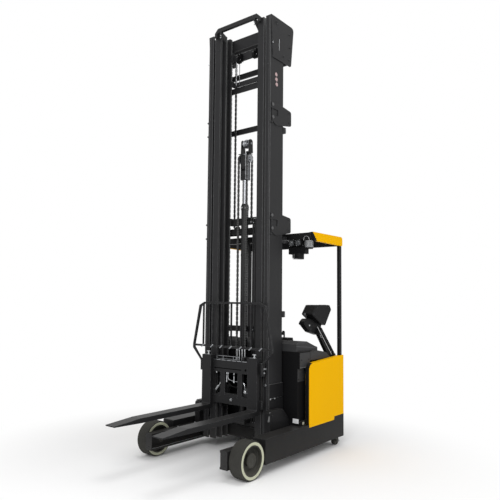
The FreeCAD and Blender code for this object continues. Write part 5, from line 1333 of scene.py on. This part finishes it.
class ControlFittingOperator(Step, bpy.types.Operator):
    """Display glass, keys and screws, dial ring, arm strips, lever grip, battery cover trim and console pads"""
    bl_idname = "truck.control_fittings"
    bl_label = "Control fittings"

    def execute(self, context):
        self.display()
        self.dial()
        self.arm()
        self.grip()
        self.cover_trim()
        self.console_ridge_highlights()
        return {"FINISHED"}

    def display(self):
        low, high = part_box("display_head")
        top, side_skin = high.z, 0.5605
        piece = Piece()
        piece.block((low.x + 0.006, 0.744, top - 0.001), (high.x - 0.006, 0.990, top + 0.0016), 0.003, 0, 2)
        piece.block((low.x + 0.014, 0.800, top + 0.0008), (high.x - 0.014, 0.930, top + 0.0022), 0.0008, 2)
        for number in range(4):
            x, y = low.x + 0.030 + (number // 2) * 0.042, 0.948 + (number % 2) * 0.020
            piece.block((x, y, top + 0.001), (x + 0.026, y + 0.012, top + 0.0034), 0.0010, 3)
        piece.bolts([(x, y, top + 0.0012) for x in (low.x + 0.012, high.x - 0.012) for y in (0.754, 0.980)],
                    "+Z", 0.0065, 1, 0.4)
        cheek = ((0.796, 1.362), (0.905, 1.326), (1.024, 1.484), (0.996, 1.518), (0.734, 1.518), (0.658, 1.434))
        for x, way, name in ((high.x, 1, "+X"), (low.x, -1, "-X")):
            piece.slab("YZ", cheek, x - way * 0.0006, x + way * 0.0012, 0.0005)
            screws = ((0.685, 1.434), (0.748, 1.504), (0.982, 1.504), (0.900, 1.345))
            piece.bolts([(x + way * 0.0011, y, z) for y, z in screws], name, 0.0065, 3, 0.35)
        piece.rod((side_skin, 0.6745, 1.316), (side_skin + 0.0035, 0.6745, 1.316), 0.0095, 1, 18, 0.001)
        piece.rod((side_skin, 0.7005, 1.276), (side_skin + 0.0027, 0.7005, 1.276), 0.0060, 3, 14, 0.001)
        piece.rod((0.550, 0.7135, 1.252), (0.550, 0.7165, 1.226), 0.0042, 3, 10, 0.001)
        pod = ((0.840, 1.224), (0.892, 1.284), (0.788, 1.344), (0.734, 1.378), (0.628, 1.378), (0.570, 1.344),
               (0.682, 1.260))
        piece.slab("YZ", pod, 0.5608, 0.5626, 0.0006)
        piece.rod((0.520, 0.676, 1.398), (0.520, 0.652, 1.428), 0.009, 3, 14, 0.002)
        piece.rod((0.520, 0.655, 1.424), (0.520, 0.640, 1.440), 0.013, 3, 16, 0.004)
        piece.done("display_fittings", "chassis", "black moulding, zinc plate, display glass, keys")

    def dial(self):
        piece = Piece()
        piece.lathe(((0.012, 0.0185), (0.012, 0.0165), (0.030, 0.0165), (0.034, 0.0180), (0.034, 0.0185)),
                    (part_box("steering_dial")[0].x, 0.738, 1.320), "X", 0, 36, True)
        piece.done("dial_ring", "steering", "dial ring")

    def arm(self):
        low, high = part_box("control_arm")
        strip = ((0.7600, 1.300), (0.7690, 1.302), (1.0690, 0.990), (1.0590, 0.988))
        groove = ((0.8250, 1.262), (0.8290, 1.263), (1.0950, 0.990), (1.0900, 0.988))
        piece = Piece()
        for x, way, name in ((high.x, 1, "+X"), (low.x, -1, "-X")):
            piece.slab("YZ", strip, x - way * 0.0005, x + way * 0.0018, 0.0004)
            piece.slab("YZ", groove, x - way * 0.0005, x + way * 0.0010, 0.0003, 1)
            piece.bolts([(x, 1.048, 1.016), (x, 1.108, 1.004)], name, 0.010, 2, 0.4)
        piece.block((low.x - 0.006, 1.030, 0.982), (high.x + 0.006, 1.150, 0.990), 0.002, 1)
        piece.done("arm_strips", "chassis", "arm strip, black moulding, zinc plate")

    def grip(self):
        """The lever's grip, and the boot round its foot."""
        foot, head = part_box("console_cowl")[1].z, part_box("control_levers")[1].z
        x, y = 0.360, 0.459
        piece = Piece()
        piece.rod((x, y + 0.002, head - 0.030), (x, y + 0.030, head + 0.004), 0.0115, 0, 20, 0.004, 0.0150)
        piece.lathe(((0.0, 0.0), (0.022, 0.0), (0.018, 0.010), (0.010, 0.016), (0.0, 0.017)),
                    (x, y, foot), "Z", 0, 24)
        piece.done("lever_grip", "chassis", "black moulding")

    def cover_trim(self):
        """A lighter surround, a bright lip and a seam around the battery cover's side pockets."""
        low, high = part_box("battery_cover")
        front, rear, lip, post, top, foot, face = low.y + 0.002, high.y - 0.002, 0.894, 0.538, 1.046, 0.366, high.x
        pocket, post_screw = face - 0.026, 0.564
        piece = Piece()
        for side in piece.sides():
            piece.slab("YZ", ((front, top), (front, lip + 0.002), (post + 0.002, lip + 0.002),
                              (post + 0.002, foot), (rear, foot), (rear, top)), face - 0.0005, face + 0.0016, 0.0005)
            piece.slab("YZ", ((front, lip + 0.0070), (front, lip + 0.0010), (post, lip + 0.0010),
                              (post + 0.001, foot + 0.002), (post + 0.0075, foot + 0.002),
                              (post + 0.0075, lip + 0.0070)),
                       face - 0.0005, face + 0.0030, 0.0006, 1)
            piece.block((pocket - 0.0004, front, 0.757), (pocket + 0.0010, post - 0.012, lip - 0.010), 0.0005, 2)
            screws = [(pocket, y, z) for y in (front + 0.020, post - 0.030) for z in (0.780, 0.400)]
            screws += [(face + 0.0012, y, z)
                       for y, z in ((0.430, 0.975), (post_screw, 0.975), (post_screw, 0.640), (post_screw, 0.410))]
            piece.bolts(screws, "+X", 0.010, 3, 0.3)
        piece.done("cover_frame", "chassis", "console grey, pocket lip, pocket plate, cover grey")

    def console_ridge_highlights(self):
        """Lighter lines along the ridges of the console's ends, which are painted highlights, and pads on its lid."""
        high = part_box("console_cowl")[1]
        lines = (((0.398, 1.1120), (0.592, 1.0960), (0.790, 1.0795),
                  (0.790, 1.0770), (0.592, 1.0930), (0.398, 1.1090)),
                 ((0.400, 1.1300), (0.430, 1.1480), (0.586, 1.1400),
                  (0.586, 1.1375), (0.431, 1.1455), (0.400, 1.1270)))
        piece = Piece()
        for side in piece.sides():
            # Painted highlights along the ridges of the console's ends.
            for line in lines:
                piece.slab("YZ", line, high.x - 0.0004, high.x + 0.0012, 0.0003)
        for x in (-0.36, -0.12, 0.12):
            piece.block((x - 0.045, 0.46, high.z - 0.004), (x + 0.045, 0.53, high.z + 0.0012), 0.004, 1, 2)
            piece.bolts([(x - 0.034, y, high.z + 0.001) for y in (0.475, 0.515)], "+Z", 0.007, 2, 0.3)
        piece.done("console_ridge_highlights", "chassis", "joint line, black moulding, zinc plate")


class BodyFittingOperator(Step, bpy.types.Operator):
    """Painted shade on the yellow panels' front edges, the operator's mat and pedal ribs, rear louvres, latch and
    hinges, and the mast's oil pipes
    """
    bl_idname = "truck.body_fittings"
    bl_label = "Body fittings"

    def execute(self, context):
        self.panel_edge_shades()
        self.bay()
        self.rear_cover()
        self.mast_pipes()
        return {"FINISHED"}

    def panel_edge_shades(self):
        low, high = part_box("side_panel_left")
        radius, slope = 0.075, 0.045 / 0.705
        y, z = low.y + radius, 0.935 + radius * slope - radius / math.cos(math.atan(slope))
        turns = [math.radians(180 - 84 * number / 8) for number in range(9)]
        outer, inner = ([(y + out * math.cos(turn), z + out * math.sin(turn)) for turn in turns]
                        for out in (radius + 0.0012, radius - 0.0020))
        # A black strip over each yellow panel's front edge and rounded corner: painted shade on the edge face.
        edge_shade = [(low.y - 0.0012, low.z + 0.003), *outer, *reversed(inner), (low.y + 0.0020, low.z + 0.003)]
        piece = Piece()
        for side in piece.sides():
            piece.slab("YZ", edge_shade, low.x + 0.001, high.x - 0.0050)
        piece.done("panel_edge_shades", "chassis", "black moulding")

    def bay(self):
        """Ribbed mat and pedal face in the operator's bay."""
        low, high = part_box("operator_floor")
        top, pitch = 0.276, sizes().mat_rib
        left, right, front, rear = low.x + 0.016, high.x - 0.014, 0.760, high.y - 0.010
        pedal_left, pedal_right, pedal_front, pedal_rear = 0.176, 0.304, 0.896, 1.064
        piece = Piece()
        for x0, y0, x1, y1 in ((left, front, right, pedal_front), (left, pedal_rear, right, rear),
                               (left, pedal_front, pedal_left, pedal_rear),
                               (pedal_right, pedal_front, right, pedal_rear)):
            piece.block((x0, y0, top - 0.0005), (x1, y1, top + 0.0025))
        y = front + pitch / 2
        while y < rear - 0.008:
            spans = [left + 0.006, right - 0.006]
            if pedal_front - 0.006 < y < pedal_rear + 0.006:
                spans[1:1] = [pedal_left - 0.004, pedal_right + 0.004]
            for start, end in zip(spans[::2], spans[1::2]):
                piece.block((start, y - 0.004, top + 0.002), (end, y + 0.004, top + 0.0055), 0.0015)
            y += pitch
        for number in range(6):
            rib = 0.914 + number * 0.025
            piece.block((0.188, rib, 0.2995), (0.292, rib + 0.010, 0.3035), 0.0015, 1)
        piece.done("bay_mat", "chassis", "mat rubber, pedal ribs")

    def rear_cover(self):
        """Louvres with black strips of painted shade in their slots, screws, latch and hinges."""
        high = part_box("power_cover")[1]
        rear, top = high.y, high.z
        hinges, hinge_y, louvre_foot, louvre_pitch = (-0.50, -0.14), 0.606, 0.470, 0.026
        piece = Piece()
        for number in range(7):
            z = louvre_foot + number * louvre_pitch
            piece.block((-0.47, rear - 0.001, z), (-0.20, rear + 0.0035, z + 0.008), 0.0020, 0, 2)
            # A black strip under each louvre: painted shade in its slot.
            piece.block((-0.462, rear - 0.0004, z - 0.012), (-0.208, rear + 0.0008, z - 0.001), 0.0, 1)
        piece.bolts([(x, rear, z) for x in (-0.606, -0.024) for z in (0.370, 0.640, 0.925)], "+Y", 0.012, 2, 0.4)
        piece.block((-0.36, rear - 0.001, 0.845), (-0.27, rear + 0.0035, 0.885), 0.003, 1, 2)
        piece.block((-0.345, rear + 0.001, 0.852), (-0.285, rear + 0.0080, 0.868), 0.003, 0, 2)
        for x in hinges:
            piece.rod((x - 0.045, hinge_y, top + 0.005), (x + 0.045, hinge_y, top + 0.005), 0.006, 0, 14, 0.001)
            piece.block((x - 0.040, hinge_y, top - 0.001), (x + 0.040, hinge_y + 0.044, top + 0.003), 0.0012)
            piece.bolts([(x - 0.024, 0.632, top + 0.003), (x + 0.024, 0.632, top + 0.003)], "+Z", 0.010, 2, 0.3)
        piece.block((-0.56, 0.700, top - 0.0004), (-0.06, 0.7025, top + 0.0010), 0.0, 1)
        piece.done("rear_cover_fittings", "chassis", "console grey, black moulding, zinc plate")

    def mast_pipes(self):
        """Rigid oil pipes that rise beside the centre cylinder, clipped to the inner stage's ties."""
        tie, y, foot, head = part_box("inner_ties")[1].y - 0.010, 0.299, 0.312, 2.44
        pipes, clips = (0.090, 0.1175), (1.265, 2.405)
        piece = Piece()
        for x in pipes:
            path = ((tie + 0.001, foot), (y, foot), (y, 0.36), (y, 2.40), (y, head), (tie + 0.001, head))
            piece.tube(rounded([(x, *corner) for corner in path], 0.024), 0.0112, 0, 2)
            for z in (foot, head):
                piece.rod((x, tie + 0.0005, z), (x, tie - 0.012, z), 0.0145, 1, 6, 0.001)
        for z in clips:
            piece.block((0.074, y - 0.0135, z - 0.014), (0.134, tie + 0.0005, z + 0.014), 0.003)
            piece.bolts([(0.1035, y - 0.0135, z)], "-Y", 0.009, 1, 0.5)
        piece.done("lift_pipes", "inner", "cylinder black, zinc plate")


# The add-on

STEPS = (StageOperator, FinishOperator, LoadWheelOperator, RearWheelOperator, ChainOperator, CylinderOperator,
         RodHeadOperator, MastFittingOperator, ForkFittingOperator, ChassisFittingOperator, RoofFittingOperator,
         ControlFittingOperator, BodyFittingOperator)
SETTINGS = ((TruckColours, "truck_colours"), (TruckSizes, "truck_sizes"), (TruckStage, "truck_stage"))


class TruckPanel(bpy.types.Panel):
    """Lists the steps and their settings"""
    bl_idname = "VIEW3D_PT_truck"
    bl_label = "Reach Truck"
    bl_space_type = "VIEW_3D"
    bl_region_type = "UI"
    bl_category = "Reach Truck"

    def draw(self, context):
        for step in STEPS:
            self.layout.operator(step.bl_idname)
        for group, name in SETTINGS:
            holder = getattr(context.scene, name)
            for label in group.__annotations__:
                self.layout.prop(holder, label)


def register():
    for group, name in SETTINGS:
        bpy.utils.register_class(group)
        setattr(bpy.types.Scene, name, bpy.props.PointerProperty(type=group))
    for step in STEPS:
        bpy.utils.register_class(step)
    bpy.utils.register_class(TruckPanel)


def unregister():
    bpy.utils.unregister_class(TruckPanel)
    for step in reversed(STEPS):
        bpy.utils.unregister_class(step)
    for group, name in reversed(SETTINGS):
        delattr(bpy.types.Scene, name)
        bpy.utils.unregister_class(group)


def main():
    register()
    for step in STEPS:
        family, action = step.bl_idname.split(".")
        getattr(getattr(bpy.ops, family), action)()


if __name__ == "__main__":
    main()
